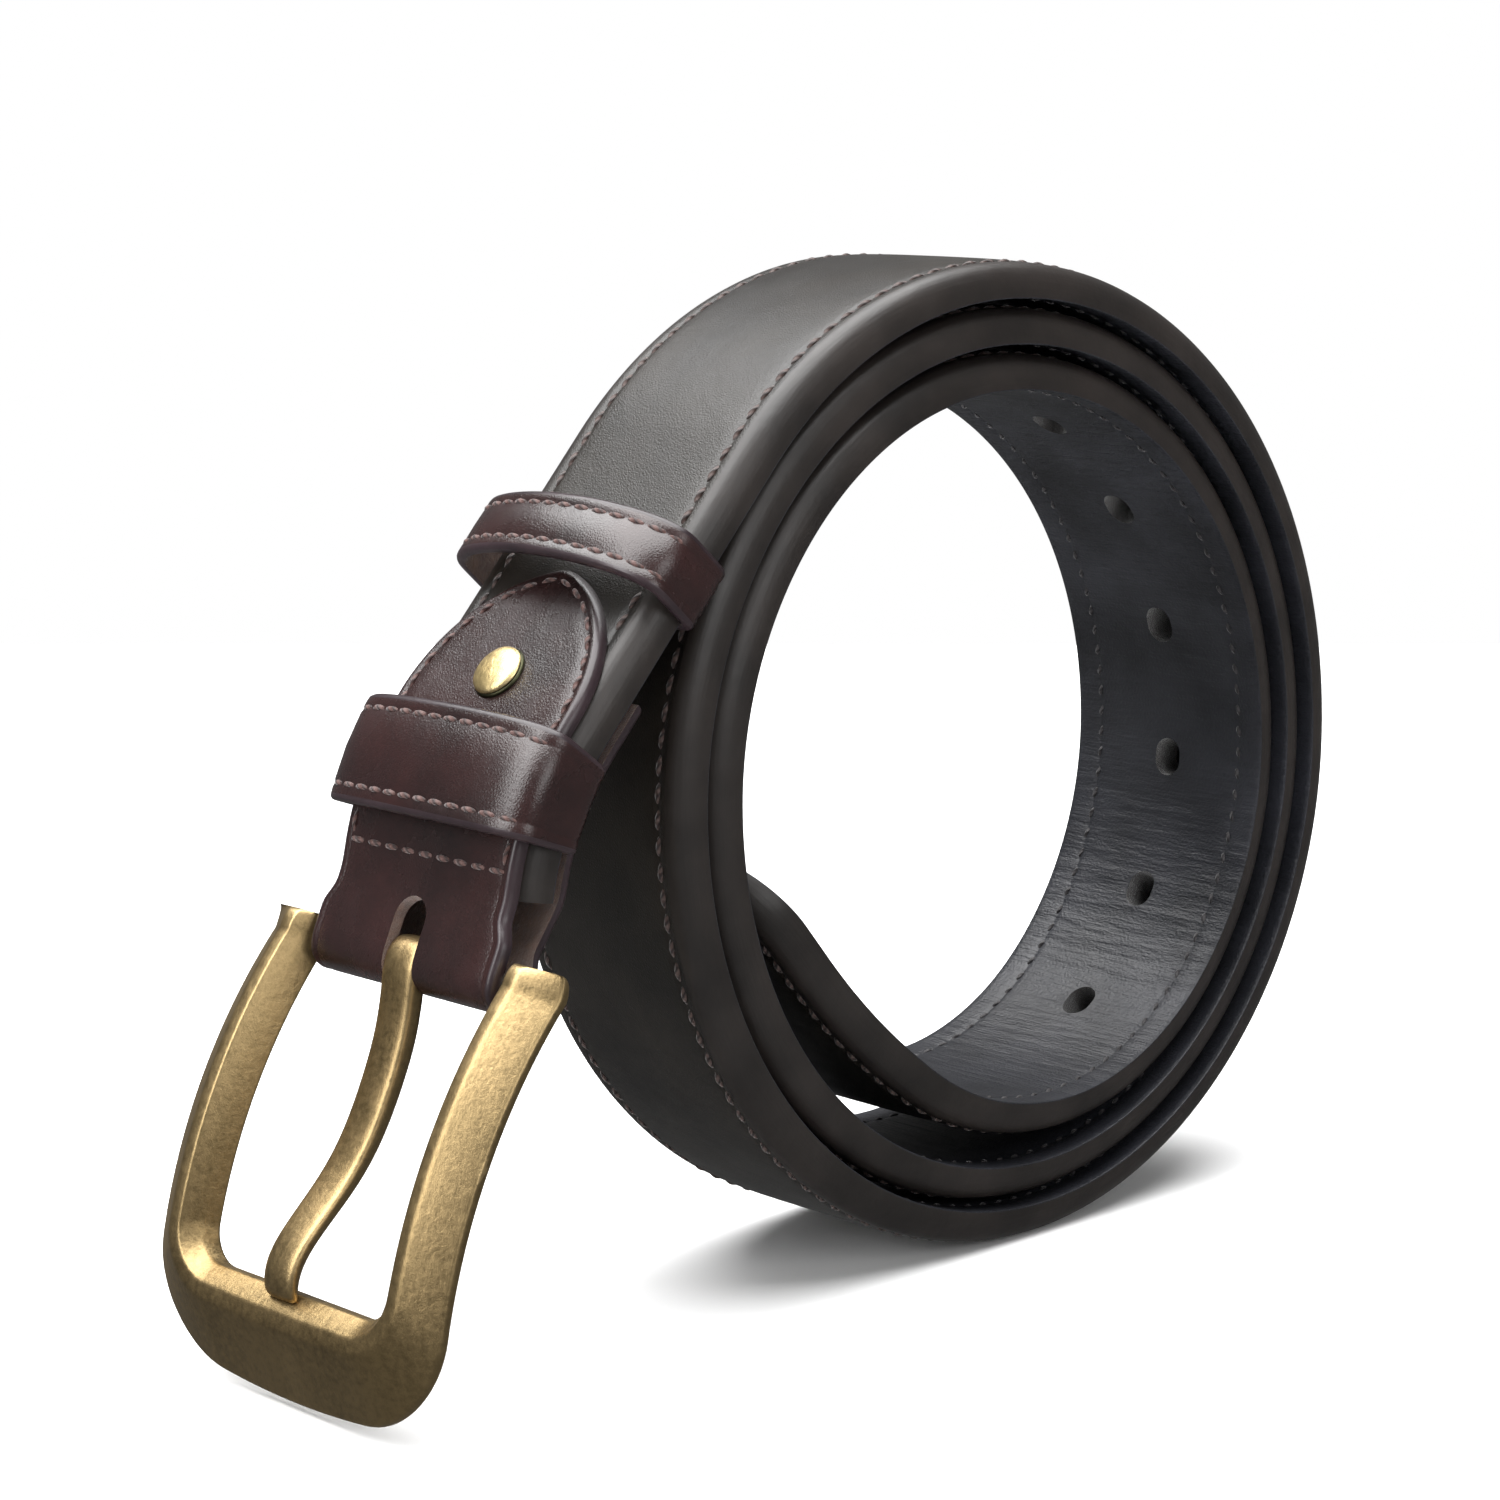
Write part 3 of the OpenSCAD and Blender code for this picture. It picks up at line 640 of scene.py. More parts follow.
def tip_inset(ahead, across):
    """Distance from a point to the strap's outline, where ahead is its distance from the tip."""
    side = HALF_WIDTH - abs(across)
    if ahead > TIP_CORNER:
        return side
    reach = abs(across) - (HALF_WIDTH - TIP_CORNER)
    if reach <= 0:
        return min(ahead, side)
    return TIP_CORNER - math.hypot(TIP_CORNER - ahead, reach)


def half_width_at(ahead):
    if ahead >= TIP_CORNER:
        return HALF_WIDTH
    return HALF_WIDTH - TIP_CORNER + math.sqrt(max(0.0, TIP_CORNER ** 2 - (TIP_CORNER - ahead) ** 2))


EDGE_COLUMNS = rounded_columns(EDGE_INSET, 10)
FACE_COLUMNS = [3.2, 3.5, 3.9, 4.2, 4.4, 4.6, 4.8, 5.0, 5.3, 5.7]
SHARES = [0.12, 0.3, 0.5, 0.75, 1.0]
LINING_COLUMNS = [0.12, 1.2, 2.6, 4.1, 4.4, 4.6, 4.8, 5.1, 5.7]


def half_columns(half, insets):
    """Distances across, from the outline in to the middle, for a strap of this half width."""
    near = [half - inset for inset in insets]
    inner = half - insets[-1]
    return near + [inner * (1 - share) for share in SHARES]


def strap_ring(s):
    ahead = LENGTH - s
    half = half_width_at(ahead)
    state = route(s)
    right = half_columns(half, EDGE_COLUMNS + FACE_COLUMNS)
    top = [-y for y in right[:-1]] + right[::-1]
    ring = [at(state, face_height(tip_inset(ahead, y)), y) for y in top]
    under = half_columns(half, LINING_COLUMNS)
    bottom = [half - 0.02] + under[:-1] + [-y for y in under[::-1]] + [-half + 0.02]
    for y in bottom:
        inset = half - abs(y)
        dip = 0.16 * math.exp(-((inset - STITCH_INSET) / 0.45) ** 2) if ahead > TIP_CORNER else 0
        lift = 0.06 if inset < 0.1 else 0
        ring.append(at(state, -HALF_THICK + dip + lift, y))
    return ring


def strap_tags():
    edge = len(EDGE_COLUMNS)
    face = len(FACE_COLUMNS) + len(SHARES) - 1
    tags = [1] * edge + [0] * (2 * face) + [1] * edge
    total = len(strap_ring(0.0))
    return tags + [2] * (total - len(tags))


def strap_stations():
    step = 1.5
    body_end = LENGTH - TIP_CORNER
    count = int(body_end / step)
    stations = [body_end * k / count for k in range(count)]
    turns = 22
    for k in range(turns + 1):
        stations.append(LENGTH - TIP_CORNER * (1 - math.sin(math.radians(90 * k / turns))))
    return stations


def hole_outlines():
    flat = oval(HOLE_LENGTH, HOLE_WIDTH)
    outlines = []
    for k in range(HOLE_COUNT):
        state = route(LENGTH - FIRST_HOLE - k * HOLE_PITCH)
        outlines.append([[at(state, height, across) + along(state) * ahead * MM for ahead, across in flat]
                         for height in (-HALF_THICK - 3, HALF_THICK + 3)])
    return outlines


def build_strap():
    stations = strap_stations()
    rings = [strap_ring(s) for s in stations]
    cross = cross_lengths(rings[0])
    mesh = ring_mesh("strap", rings, cross, [s * MM for s in stations], strap_tags())
    for material in (FACE, EDGE, LINING):
        mesh.materials.append(material)
    cut = cut_with(mesh, "strap", prism_mesh("holes", hole_outlines(), HOLE))
    face = keep_tags(cut, "strap_face_skin", [0])
    core = keep_tags(cut, "strap_painted_edge", [1, 3])
    lining = keep_tags(cut, "strap_lining_skin", [2])
    for piece, node, slot in ((face, "strap_face", "face_leather"), (core, "strap_core", "core_board"),
                              (lining, "strap_lining", "lining_leather")):
        place_piece(piece, "strap", slot, node)


def place_piece(piece, body, slot, *nodes):
    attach(piece, body)
    if nodes:
        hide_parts(*nodes)


# ---- stitches

STITCH_RINGS = 6
STITCH_SIDES = 8


def stitch_points(ends, lift, radius, sink):
    """Rings of one stitch. ends are its two points, and lift is the way out of the leather."""
    start, stop = ends
    forward = (stop - start).normalized()
    side = forward.cross(lift).normalized()
    rings = []
    for k in range(STITCH_RINGS):
        t = k / (STITCH_RINGS - 1)
        swell = 0.35 + 0.65 * math.sin(math.pi * (0.1 + 0.8 * t)) ** 0.6
        middle = start.lerp(stop, t) + lift * (math.sin(math.pi * t) - 1) * sink * MM
        ring = []
        for j in range(STITCH_SIDES):
            angle = 2 * math.pi * j / STITCH_SIDES
            offset = side * math.cos(angle) + lift * math.sin(angle) * 0.8
            ring.append(middle + offset * radius * swell * MM)
        rings.append(ring)
    return rings


def stitches_piece(name, stitches, material, radius, sink):
    """One mesh of many stitches. Each is a pair of end points and the way out of the leather."""
    points = []
    faces = []
    coords = []
    for number, (start, stop, lift) in enumerate(stitches):
        rings = stitch_points((start, stop), lift, radius * random.uniform(0.92, 1.08), sink)
        base = len(points)
        length = (stop - start).length
        for ring in rings:
            points += ring
        for i in range(STITCH_RINGS - 1):
            for j in range(STITCH_SIDES):
                beside = (j + 1) % STITCH_SIDES
                row = base + i * STITCH_SIDES
                faces.append((row + j, row + beside, row + STITCH_SIDES + beside, row + STITCH_SIDES + j))
                down = [number * 0.01 + length * (i + e) / (STITCH_RINGS - 1) for e in (0, 1)]
                turn = [2 * math.pi * radius * MM * (j + e) / STITCH_SIDES for e in (0, 1)]
                coords += [(turn[0], down[0]), (turn[1], down[0]), (turn[1], down[1]), (turn[0], down[1])]
        for row, flip in ((base, True), (base + (STITCH_RINGS - 1) * STITCH_SIDES, False)):
            cap = [row + j for j in range(STITCH_SIDES)]
            faces.append(tuple(cap[::-1] if flip else cap))
            coords += [(0, 0)] * STITCH_SIDES
    mesh = textured_mesh(name, points, faces, coords)
    return finish_mesh(name, mesh, [material], 70)


def row_stitches(row, pitch, state_of, height, sign, gap, slant):
    """Stitches along a row on a path. sign is 1 on the outer side and -1 on the inner side."""
    steps = even_points(row, max(1, round(marks_along(row)[-1] / pitch)))
    stitches = []
    for one, two in zip(steps, steps[1:]):
        ends = []
        for t, tilt in ((gap, -slant), (1 - gap, slant)):
            s = one[0] + (two[0] - one[0]) * t
            across = one[1] + (two[1] - one[1]) * t + tilt
            ends.append(at(state_of(s), height * sign, across))
        lift = outward(state_of((one[0] + two[0]) / 2)) * sign
        stitches.append((ends[0], ends[1], lift))
    return stitches


def strap_row(start):
    """Row down one side of the strap, around its tip and back up the other side."""
    side = HALF_WIDTH - STITCH_INSET
    radius = TIP_CORNER - STITCH_INSET
    body_end = LENGTH - TIP_CORNER
    arc = []
    for k in range(13):
        angle = math.radians(90 * k / 12)
        arc.append((body_end + radius * math.sin(angle), side - radius + radius * math.cos(angle)))
    near = [(start, side), (body_end - 1, side)] + arc
    return near + [(s, -across) for s, across in near[::-1]]


def build_strap_stitches():
    start = STRAIGHT_AT + FLAP_LENGTH - 8
    upper = row_stitches(strap_row(start), STITCH_PITCH, route, HALF_THICK + 0.02, 1, 0.07, 0.18)
    piece = stitches_piece("strap_face_stitches", upper, FACE_THREAD, 0.46, 0.4)
    place_piece(piece, "strap", "brown_thread", "face_thread")
    lower = row_stitches(strap_row(start), STITCH_PITCH, route, HALF_THICK - 0.08, -1, 0.2, 0.35)
    piece = stitches_piece("strap_lining_stitches", lower, LINING_THREAD, 0.36, 0.35)
    place_piece(piece, "strap", "dark_thread", "lining_thread")


# ---- tab

def path_of(points):
    """Function from distance to state for a polyline of (x, z) points, smoothed at its corners."""
    total = marks_along(points)[-1]
    count = int(total / 0.6)
    even = smoothed(even_points(points, count), 6, 1)
    step = total / count

    def state_of(s):
        place = min(max(s / step, 0.0), count - 1e-6)
        k = int(place)
        t = place - k
        a, b = even[k], even[k + 1]
        before, after = even[max(k - 1, 0)], even[min(k + 2, count)]
        one = Vector((b[0] - before[0], b[1] - before[1]))
        two = Vector((after[0] - a[0], after[1] - a[1]))
        way = one.normalized().lerp(two.normalized(), t)
        return a[0] + (b[0] - a[0]) * t, a[1] + (b[1] - a[1]) * t, math.degrees(math.atan2(way.y, way.x))

    return state_of, total


def flat_point(state, height):
    point = at(state, height, 0)
    return point.x / MM, point.z / MM


BACK_MIDDLE = -HALF_THICK - KEEPER_THICK - 2 * KEEPER_CLEARANCE - TAB_THICK / 2
FRONT_MIDDLE = HALF_THICK + TAB_THICK / 2


def bar_place():
    x, z, _ = route(0.0)
    lean = math.radians(NECK_LEAN)
    return x - NECK_LENGTH * math.sin(lean), z - NECK_LENGTH * math.cos(lean)


BAR = bar_place()


def tangent(point, side):
    gap = (point[0] - BAR[0], point[1] - BAR[1])
    return math.atan2(gap[1], gap[0]) + side * math.acos(FOLD_RADIUS / math.hypot(*gap))


def tab_points():
    """Middle line of the tab, from the back flap, around the bar, to the tip of the front flap."""
    back_end = STRAIGHT_AT + BACK_FLAP
    back = [flat_point(route(back_end - k), BACK_MIDDLE) for k in range(int(back_end))]
    back.append(flat_point(route(0.0), BACK_MIDDLE))
    front = [flat_point(route(float(k)), FRONT_MIDDLE) for k in range(int(STRAIGHT_AT + FLAP_LENGTH))]
    front.append(flat_point(route(STRAIGHT_AT + FLAP_LENGTH), FRONT_MIDDLE))
    high = tangent(back[-1], -1) + 2 * math.pi
    low = tangent(front[0], 1)
    ring = []
    for k in range(25):
        angle = high + (low - high) * k / 24
        ring.append((BAR[0] + FOLD_RADIUS * math.cos(angle), BAR[1] + FOLD_RADIUS * math.sin(angle)))
    return back + ring + front


TAB_STATE, TAB_LENGTH = path_of(tab_points())
HALF_FOLD = 4.5
FOLD_AT = TAB_LENGTH - FLAP_LENGTH - STRAIGHT_AT - NECK_LENGTH - HALF_FOLD
FOLD_FLARE = 1.5
FOLD_REACH = 8.0

# The flap's outline: two arcs of radius ARCH from its sides, joined by a round point.
POINT_RADIUS = 5.0
TIP_CENTRE = FLAP_LENGTH - POINT_RADIUS
ARCH = (TIP_CENTRE ** 2 / (TAB_HALF - POINT_RADIUS) + TAB_HALF + POINT_RADIUS) / 2
TIP_FROM = TIP_CENTRE * ARCH / (ARCH - POINT_RADIUS)


def flare(s):
    """How much wider the tab is around the bar."""
    away = abs(s - FOLD_AT)
    t = min(max((FOLD_REACH + 4 - away) / 4, 0.0), 1.0)
    return FOLD_FLARE * t * t * (3 - 2 * t)


def flap_half(ahead, inset=0.0):
    """Half width of the front flap at a distance from its tip, for its outline drawn in by inset."""
    x = FLAP_LENGTH - ahead
    half = TAB_HALF - inset
    if x <= 0:
        return half + flare(TAB_LENGTH - ahead)
    if x < TIP_FROM * (ARCH - inset) / ARCH:
        side = math.sqrt(max((ARCH - inset) ** 2 - x * x, 0)) - (ARCH - TAB_HALF)
    else:
        side = math.sqrt(max((POINT_RADIUS - inset) ** 2 - (x - TIP_CENTRE) ** 2, 0))
    return max(0.05, side)


def tab_inset(ahead, across):
    x = FLAP_LENGTH - ahead
    side = TAB_HALF - abs(across)
    if x <= 0:
        return side + flare(TAB_LENGTH - ahead)
    swing = (x, abs(across) + ARCH - TAB_HALF)
    if swing[1] * TIP_CENTRE > swing[0] * (ARCH - TAB_HALF):
        return ARCH - math.hypot(*swing)
    return POINT_RADIUS - math.hypot(x - TIP_CENTRE, across)


TAB_EDGE_STEPS = 6
TAB_COLUMNS = rounded_columns(TAB_EDGE, TAB_EDGE_STEPS) + [1.1, 1.4, 1.8, 2.0, 2.2, 2.7]


def tab_height(inset):
    half = TAB_THICK / 2
    if inset < TAB_EDGE:
        reach = 1 - max(inset, 0) / TAB_EDGE
        return -half + 0.25 + (TAB_THICK - 0.25) * math.sqrt(max(0.0, 1 - reach * reach))
    return half - 0.16 * math.exp(-((inset - TAB_STITCH_INSET) / 0.4) ** 2)


def tab_ring(s):
    ahead = TAB_LENGTH - s
    half = flap_half(ahead)
    state = TAB_STATE(s)
    insets = list(TAB_COLUMNS)
    if half < 4:
        insets = [min(inset, half * 0.7 * (k + 1) / len(TAB_COLUMNS)) for k, inset in enumerate(TAB_COLUMNS)]
    insets[0] = 0.0
    right = half_columns(half, insets)
    top = [-y for y in right[:-1]] + right[::-1]
    ring = [at(state, tab_height(min(tab_inset(ahead, y), s)), y) for y in top]
    for share in (1.0, 0.9, 0.5, 0.0, -0.5, -0.9, -1.0):
        ring.append(at(state, -TAB_THICK / 2, share * (half - 0.05)))
    return ring


def slot_outline():
    """The slot for the prong, cut through the fold from front to back."""
    lean = math.radians(NECK_LEAN)
    up = Vector((math.sin(lean), 0, math.cos(lean)))
    out = Vector((-math.cos(lean), 0, math.sin(lean)))
    half = SLOT_HALF
    top = SLOT_TOP - half
    flat = [(-20.0, -half), (-20.0, half), (top, half)]
    for angle in range(15, 166, 15):
        turn = math.radians(angle)
        flat.append((top + half * math.sin(turn), half * math.cos(turn)))
    flat += [(top, -half)]
    flat.reverse()
    middle = Vector((BAR[0], 0, BAR[1]))
    return [[[(middle + up * a + Vector((0, b, 0)) + out * height) * MM for a, b in flat]
             for height in (-20, 20)]]


def build_tab():
    count = int(TAB_LENGTH / 0.8)
    body = [TAB_LENGTH * k / count for k in range(count)]
    body = [0.0, 0.15, 0.4] + [s for s in body if 0.7 < s < TAB_LENGTH - 4]
    fine = [TAB_LENGTH - 4 * (1 - math.sin(math.radians(90 * k / 14))) for k in range(15)]
    stations = body + fine
    rings = [tab_ring(s) for s in stations]
    face = len(TAB_COLUMNS) - TAB_EDGE_STEPS + len(SHARES) - 1
    tags = [1] * TAB_EDGE_STEPS + [0] * (2 * face) + [1] * TAB_EDGE_STEPS
    tags += [1] + [2] * 6 + [1]
    mesh = ring_mesh("tab", rings, cross_lengths(rings[len(rings) // 2]), [s * MM for s in stations], tags)
    for material in (BURGUNDY, TRIM_EDGE, SUEDE):
        mesh.materials.append(material)
    cut = cut_with(mesh, "tab", prism_mesh("slot", slot_outline(), SUEDE))
    piece = keep_tags(cut, "tab_leather_piece", list(range(len(cut.materials))), 40)
    place_piece(piece, "strap", "burgundy_leather", "tab_leather")


def build_tab_stitches():
    start = TAB_LENGTH - FLAP_LENGTH - STRAIGHT_AT + 2.2
    side = TAB_HALF - TAB_STITCH_INSET
    straight_start = TAB_LENGTH - FLAP_LENGTH
    row = [(start, side), (straight_start, side)]
    steps = 60
    reach = FLAP_LENGTH - TAB_STITCH_INSET
    for k in range(1, steps + 1):
        x = reach * math.sin(math.radians(90 * k / steps))
        row.append((straight_start + x, flap_half(FLAP_LENGTH - x, TAB_STITCH_INSET)))
    both = row + [(s, -y) for s, y in row[::-1]]
    edge = row_stitches(both, 3.5, TAB_STATE, TAB_THICK / 2 + 0.05, 1, 0.07, 0.15)
    piece = stitches_piece("tab_edge_stitches", edge, TRIM_THREAD, 0.36, 0.4)
    place_piece(piece, "strap", "pink_thread", "tab_edge_thread")
    across = [(start - 0.6, -TAB_HALF + 1.6), (start - 0.6, TAB_HALF - 1.6)]
    cross = row_stitches(across, 3.6, TAB_STATE, TAB_THICK / 2 + 0.05, 1, 0.07, 0.18)
    piece = stitches_piece("tab_cross_stitches", cross, TRIM_THREAD, 0.42, 0.45)
    place_piece(piece, "strap", "pink_thread", "tab_cross_thread")


# ---- keepers

def loop_points(bow):
    """Middle line of a keeper around the strap, as (height, across) pairs, starting at the back."""
    half = HALF_WIDTH + KEEPER_CLEARANCE + 0.3 + KEEPER_THICK / 2
    low = -HALF_THICK - KEEPER_CLEARANCE - KEEPER_THICK / 2
    side_top = HALF_THICK + KEEPER_ROOM + KEEPER_THICK / 2
    front = []
    for k in range(25):
        t = -1 + 2 * k / 24
        front.append((side_top + bow * (1 - t * t) - KEEPER_DROP * t ** 10, -half * t))
    right = [(low, 0.0), (low, half), (side_top - KEEPER_DROP, half)]
    left = [(low, -half)]
    return right + front[1:-1] + [(side_top - KEEPER_DROP, -half)] + left


def smooth_loop(points):
    """Even points around a closed line, with its corners smoothed."""
    closed = points + [points[0]]
    count = int(marks_along(closed)[-1] / KEEPER_STEP)
    return smoothed(even_points(closed, count)[:-1], 3, 0)


def keeper_section(width):
    """Section of a keeper's leather as (along, outward), with rounded painted edges."""
    half = width / 2
    thick = KEEPER_THICK / 2
    side = [(half - 0.15, -thick), (half, -thick + 0.3), (half, 0.1), (half - 0.12, thick - 0.3),
            (half - 0.4, thick - 0.06), (half - 0.8, thick)]
    floor = thick - 0.12
    groove = [(half - 1.6, thick), (half - 1.9, floor), (half - 2.2, floor), (half - 2.5, thick)]
    right = side + groove
    return right + [(0.0, thick + 0.05)] + [(-a, b) for a, b in right[::-1]]


def build_keeper(name, middle, width, bow, node, stitch_names, body):
    loop = smooth_loop(loop_points(bow))
    section = keeper_section(width)
    rings = []
    normals = []
    count = len(loop)
    for k in range(count):
        before, after = loop[k - 1], loop[(k + 1) % count]
        way = Vector((after[0] - before[0], after[1] - before[1])).normalized()
        normals.append((-way.y, way.x))
    sample = loop[count // 2]
    if normals[count // 2][0] * sample[0] + normals[count // 2][1] * sample[1] < 0:
        normals = [(-a, -b) for a, b in normals]
    for (height, across), (rise, spread) in zip(loop, normals):
        ring = []
        for ahead, lift in section:
            state = route(middle + ahead)
            ring.append(at(state, height + rise * lift, across + spread * lift))
        rings.append(ring)
    tags = [1] * 5 + [0] * (len(section) - 11) + [1] * 5 + [2]
    down = [k * KEEPER_STEP * MM for k in range(count + 1)]
    mesh = ring_mesh(name, rings, cross_lengths(rings[0]), down, tags, caps=False, closed_path=True)
    piece = finish_mesh(name, mesh, [BURGUNDY, TRIM_EDGE, SUEDE], 40)
    place_piece(piece, body, "burgundy_leather", node)
    thick = KEEPER_THICK / 2
    face = [k for k in range(count) if loop[k][0] > HALF_THICK + 1.0]
    pitch = 4
    for end, (label, row_node) in zip((1, -1), stitch_names):
        rows = []
        for first in face[:-pitch:pitch]:
            second = first + pitch
            if second not in face:
                continue
            ends = []
            for t in (0.06, 0.94):
                place = first + (second - first) * t
                k = int(place)
                rest = place - k
                height = loop[k][0] * (1 - rest) + loop[k + 1][0] * rest
                across = loop[k][1] * (1 - rest) + loop[k + 1][1] * rest
                rise, spread = normals[k]
                state = route(middle + end * (width / 2 - 2.05))
                ends.append(at(state, height + rise * thick, across + spread * thick))
            mid = (first + second) // 2
            lift = outward(route(middle)) * normals[mid][0] + Vector((0, normals[mid][1], 0))
            rows.append((ends[0], ends[1], lift.normalized()))
        stitches = stitches_piece(label, rows, TRIM_THREAD, 0.4, 0.35)
        place_piece(stitches, body, "pink_thread", row_node)


def build_keepers():
    place = END_RADIUS * math.radians(FIXED_KEEPER_TURN)
    build_keeper("fixed_keeper_piece", place, FIXED_KEEPER_WIDTH, FIXED_KEEPER_BOW, "fixed_keeper",
                 [("fixed_keeper_stitches_upper", "fixed_keeper_upper_thread"),
                  ("fixed_keeper_stitches_lower", "fixed_keeper_lower_thread")], "strap")
    place = STRAIGHT_AT + SLIDING_KEEPER_PLACE
    build_keeper("sliding_keeper_piece", place, SLIDING_KEEPER_WIDTH, SLIDING_KEEPER_BOW, "sliding_keeper",
                 [("sliding_keeper_stitches_upper", "sliding_keeper_upper_thread"),
                  ("sliding_keeper_stitches_lower", "sliding_keeper_lower_thread")], "sliding_keeper")


# ---- rivet

def lathe(name, profile, base, axis, material, steps=48):
    """Turns a profile of (radius, height) around an axis through base."""
    side = axis.cross(Vector((0, 1, 0))).normalized()
    other = axis.cross(side).normalized()
    rings = []
    for radius, height in profile:
        ring = []
        for k in range(steps):
            angle = 2 * math.pi * k / steps
            spoke = side * math.cos(angle) + other * math.sin(angle)
            ring.append(base + (axis * height + spoke * radius) * MM)
        rings.append(ring)
    mesh = ring_mesh(name, rings, cross_lengths(rings[0]), [p[1] * MM for p in profile], [0] * steps)
    return finish_mesh(name, mesh, [material], 50)


def build_rivet():
    state = route(STRAIGHT_AT + RIVET_PLACE)
    base = at(state, HALF_THICK + TAB_THICK, 0)
    axis = outward(state)
    collar = [(4.1, -0.1), (4.15, 0.15), (3.95, 0.4), (3.6, 0.5), (1.0, 0.5)]
    piece = lathe("rivet_collar_piece", collar, base, axis, COLLAR)
    place_piece(piece, "strap", "dark_collar", "rivet_collar")
    cap = [(3.3, 0.45), (3.75, 0.5), (3.9, 0.7), (3.8, 0.95), (3.4, 1.25), (2.6, 1.55), (1.6, 1.72),
           (0.6, 1.8), (0.05, 1.8)]
    piece = lathe("rivet_cap_piece", cap, base, axis, CAP_BRASS)
    place_piece(piece, "strap", "bright_brass", "rivet_cap")


# ---- buckle

def arch_height(u, radius):
    return ARCH_RISE - ARCH_RADIUS + math.sqrt(radius ** 2 - (u - ARCH_PEAK) ** 2)


def buckle_tilt():
    drop = -arch_height(FRAME_LENGTH, ARCH_RADIUS)
    reach = math.hypot(FRAME_LENGTH, drop)
    return math.acos(min(1.0, BAR[1] / reach)) + math.atan2(drop, FRAME_LENGTH)


TILT = buckle_tilt()
DOWN = Vector((-math.sin(TILT), 0, -math.cos(TILT)))
OUT = Vector((-math.cos(TILT), 0, math.sin(TILT)))


def on_buckle(u, across, v):
    return (Vector((BAR[0], across, BAR[1])) + DOWN * u + OUT * v) * MM


def rail_path(half, end, corner, bow):
    """Half of a U in the buckle's plane, from a leg's top to the middle of the end rail."""
    leg, turn, rail = RAIL_STEPS
    points = []
    for k in range(leg):
        points.append(((end - corner) * k / leg, half))
    for k in range(turn + 1):
        angle = math.radians(90 * k / turn)
        points.append((end - corner + corner * math.sin(angle), half - corner + corner * math.cos(angle)))
    for k in range(1, rail + 1):
        points.append((end, (half - corner) * (1 - k / rail)))
    bowed = []
    for u, y in points:
        share = min(max((u - end + corner) / corner, 0.0), 1.0)
        bowed.append((u - bow * (y / half) ** 2 * share, y))
    return bowed


# Steps down a leg, around a corner and along half of the end rail.
RAIL_STEPS = (48, 20, 18)
INNER_END = FRAME_LENGTH - RAIL_WIDTH
# Corners of the frame's section, from the inner wall around the front to the back. Each has its
# half width on a leg, its place on the end rail, its plan corner, bow, height and rounding.
FRAME_CORNERS = [
    (OPENING_HALF, INNER_END, 5.0, 0.0, ("back", 0.1, 0.1), 0.5),
    (OPENING_HALF + 1.2, INNER_END + 0.3, 5.4, 0.0, ("front", -2.6, -2.7), 0.5),
    (OPENING_HALF + 2.6, INNER_END + 3.4, 7.2, 0.4, ("front", -0.1, -0.1), 0.4),
    (OPENING_HALF + 4.6, INNER_END + 5.6, 9.0, 0.8, ("front", 0.0, 0.0), 0.7),
    (FRAME_HALF - 0.1, FRAME_LENGTH - 0.1, 15.0, 2.7, ("back", 1.8, 1.7), 0.6),
    (FRAME_HALF - 0.3, FRAME_LENGTH - 0.3, 14.8, 2.6, ("back", 0.4, 0.3), 0.4),
    (FRAME_HALF - 1.8, FRAME_LENGTH - 1.8, 14.0, 2.4, ("back", 0.0, 0.0), 0.8),
    (OPENING_HALF + 0.8, INNER_END + 0.8, 5.6, 0.0, ("back", -0.2, -0.2), 0.4),
]


def corner_height(u, rule, share):
    surface, on_leg, on_rail = rule
    radius = ARCH_RADIUS if surface == "back" else ARCH_RADIUS + FRAME_DEPTH
    return arch_height(u, radius) + on_leg + (on_rail - on_leg) * share


def rounded(corners, radii):
    """Closed outline in space with each corner cut to a short curve."""
    outline = []
    for k, corner in enumerate(corners):
        before = corners[k - 1]
        after = corners[(k + 1) % len(corners)]
        reach = min(radii[k], (before - corner).length * 0.45, (after - corner).length * 0.45)
        one = corner + (before - corner).normalized() * reach
        two = corner + (after - corner).normalized() * reach
        outline += [one, one * 0.4225 + corner * 0.455 + two * 0.1225, (one + two) * 0.25 + corner * 0.5,
                    one * 0.1225 + corner * 0.455 + two * 0.4225, two]
    return outline


def frame_ring(paths, k, mirror):
    leg, turn, _ = RAIL_STEPS
    share = min(max((k - leg) / turn, 0.0), 1.0)
    corners = []
    for path, corner in zip(paths, FRAME_CORNERS):
        u, across = path[k]
        corners.append(Vector((u, across * mirror, corner_height(u, corner[4], share))))
    return rounded(corners, [corner[5] for corner in FRAME_CORNERS])


def leg_end(ring, t):
    """Ring of a leg's round end above the bar: drawn in as t goes from 0 to 1."""
    rise = 2.6
    drop = 3.2 * math.sin(math.radians(90 * t))
    shrink = math.sqrt(max(math.cos(math.radians(89 * t)), 0.0))
    middle = sum(point.y for point in ring) / len(ring)
    return [Vector((u - drop, middle + (y - middle) * (0.88 + 0.12 * shrink), rise + (v - rise) * shrink))
            for u, y, v in ring]


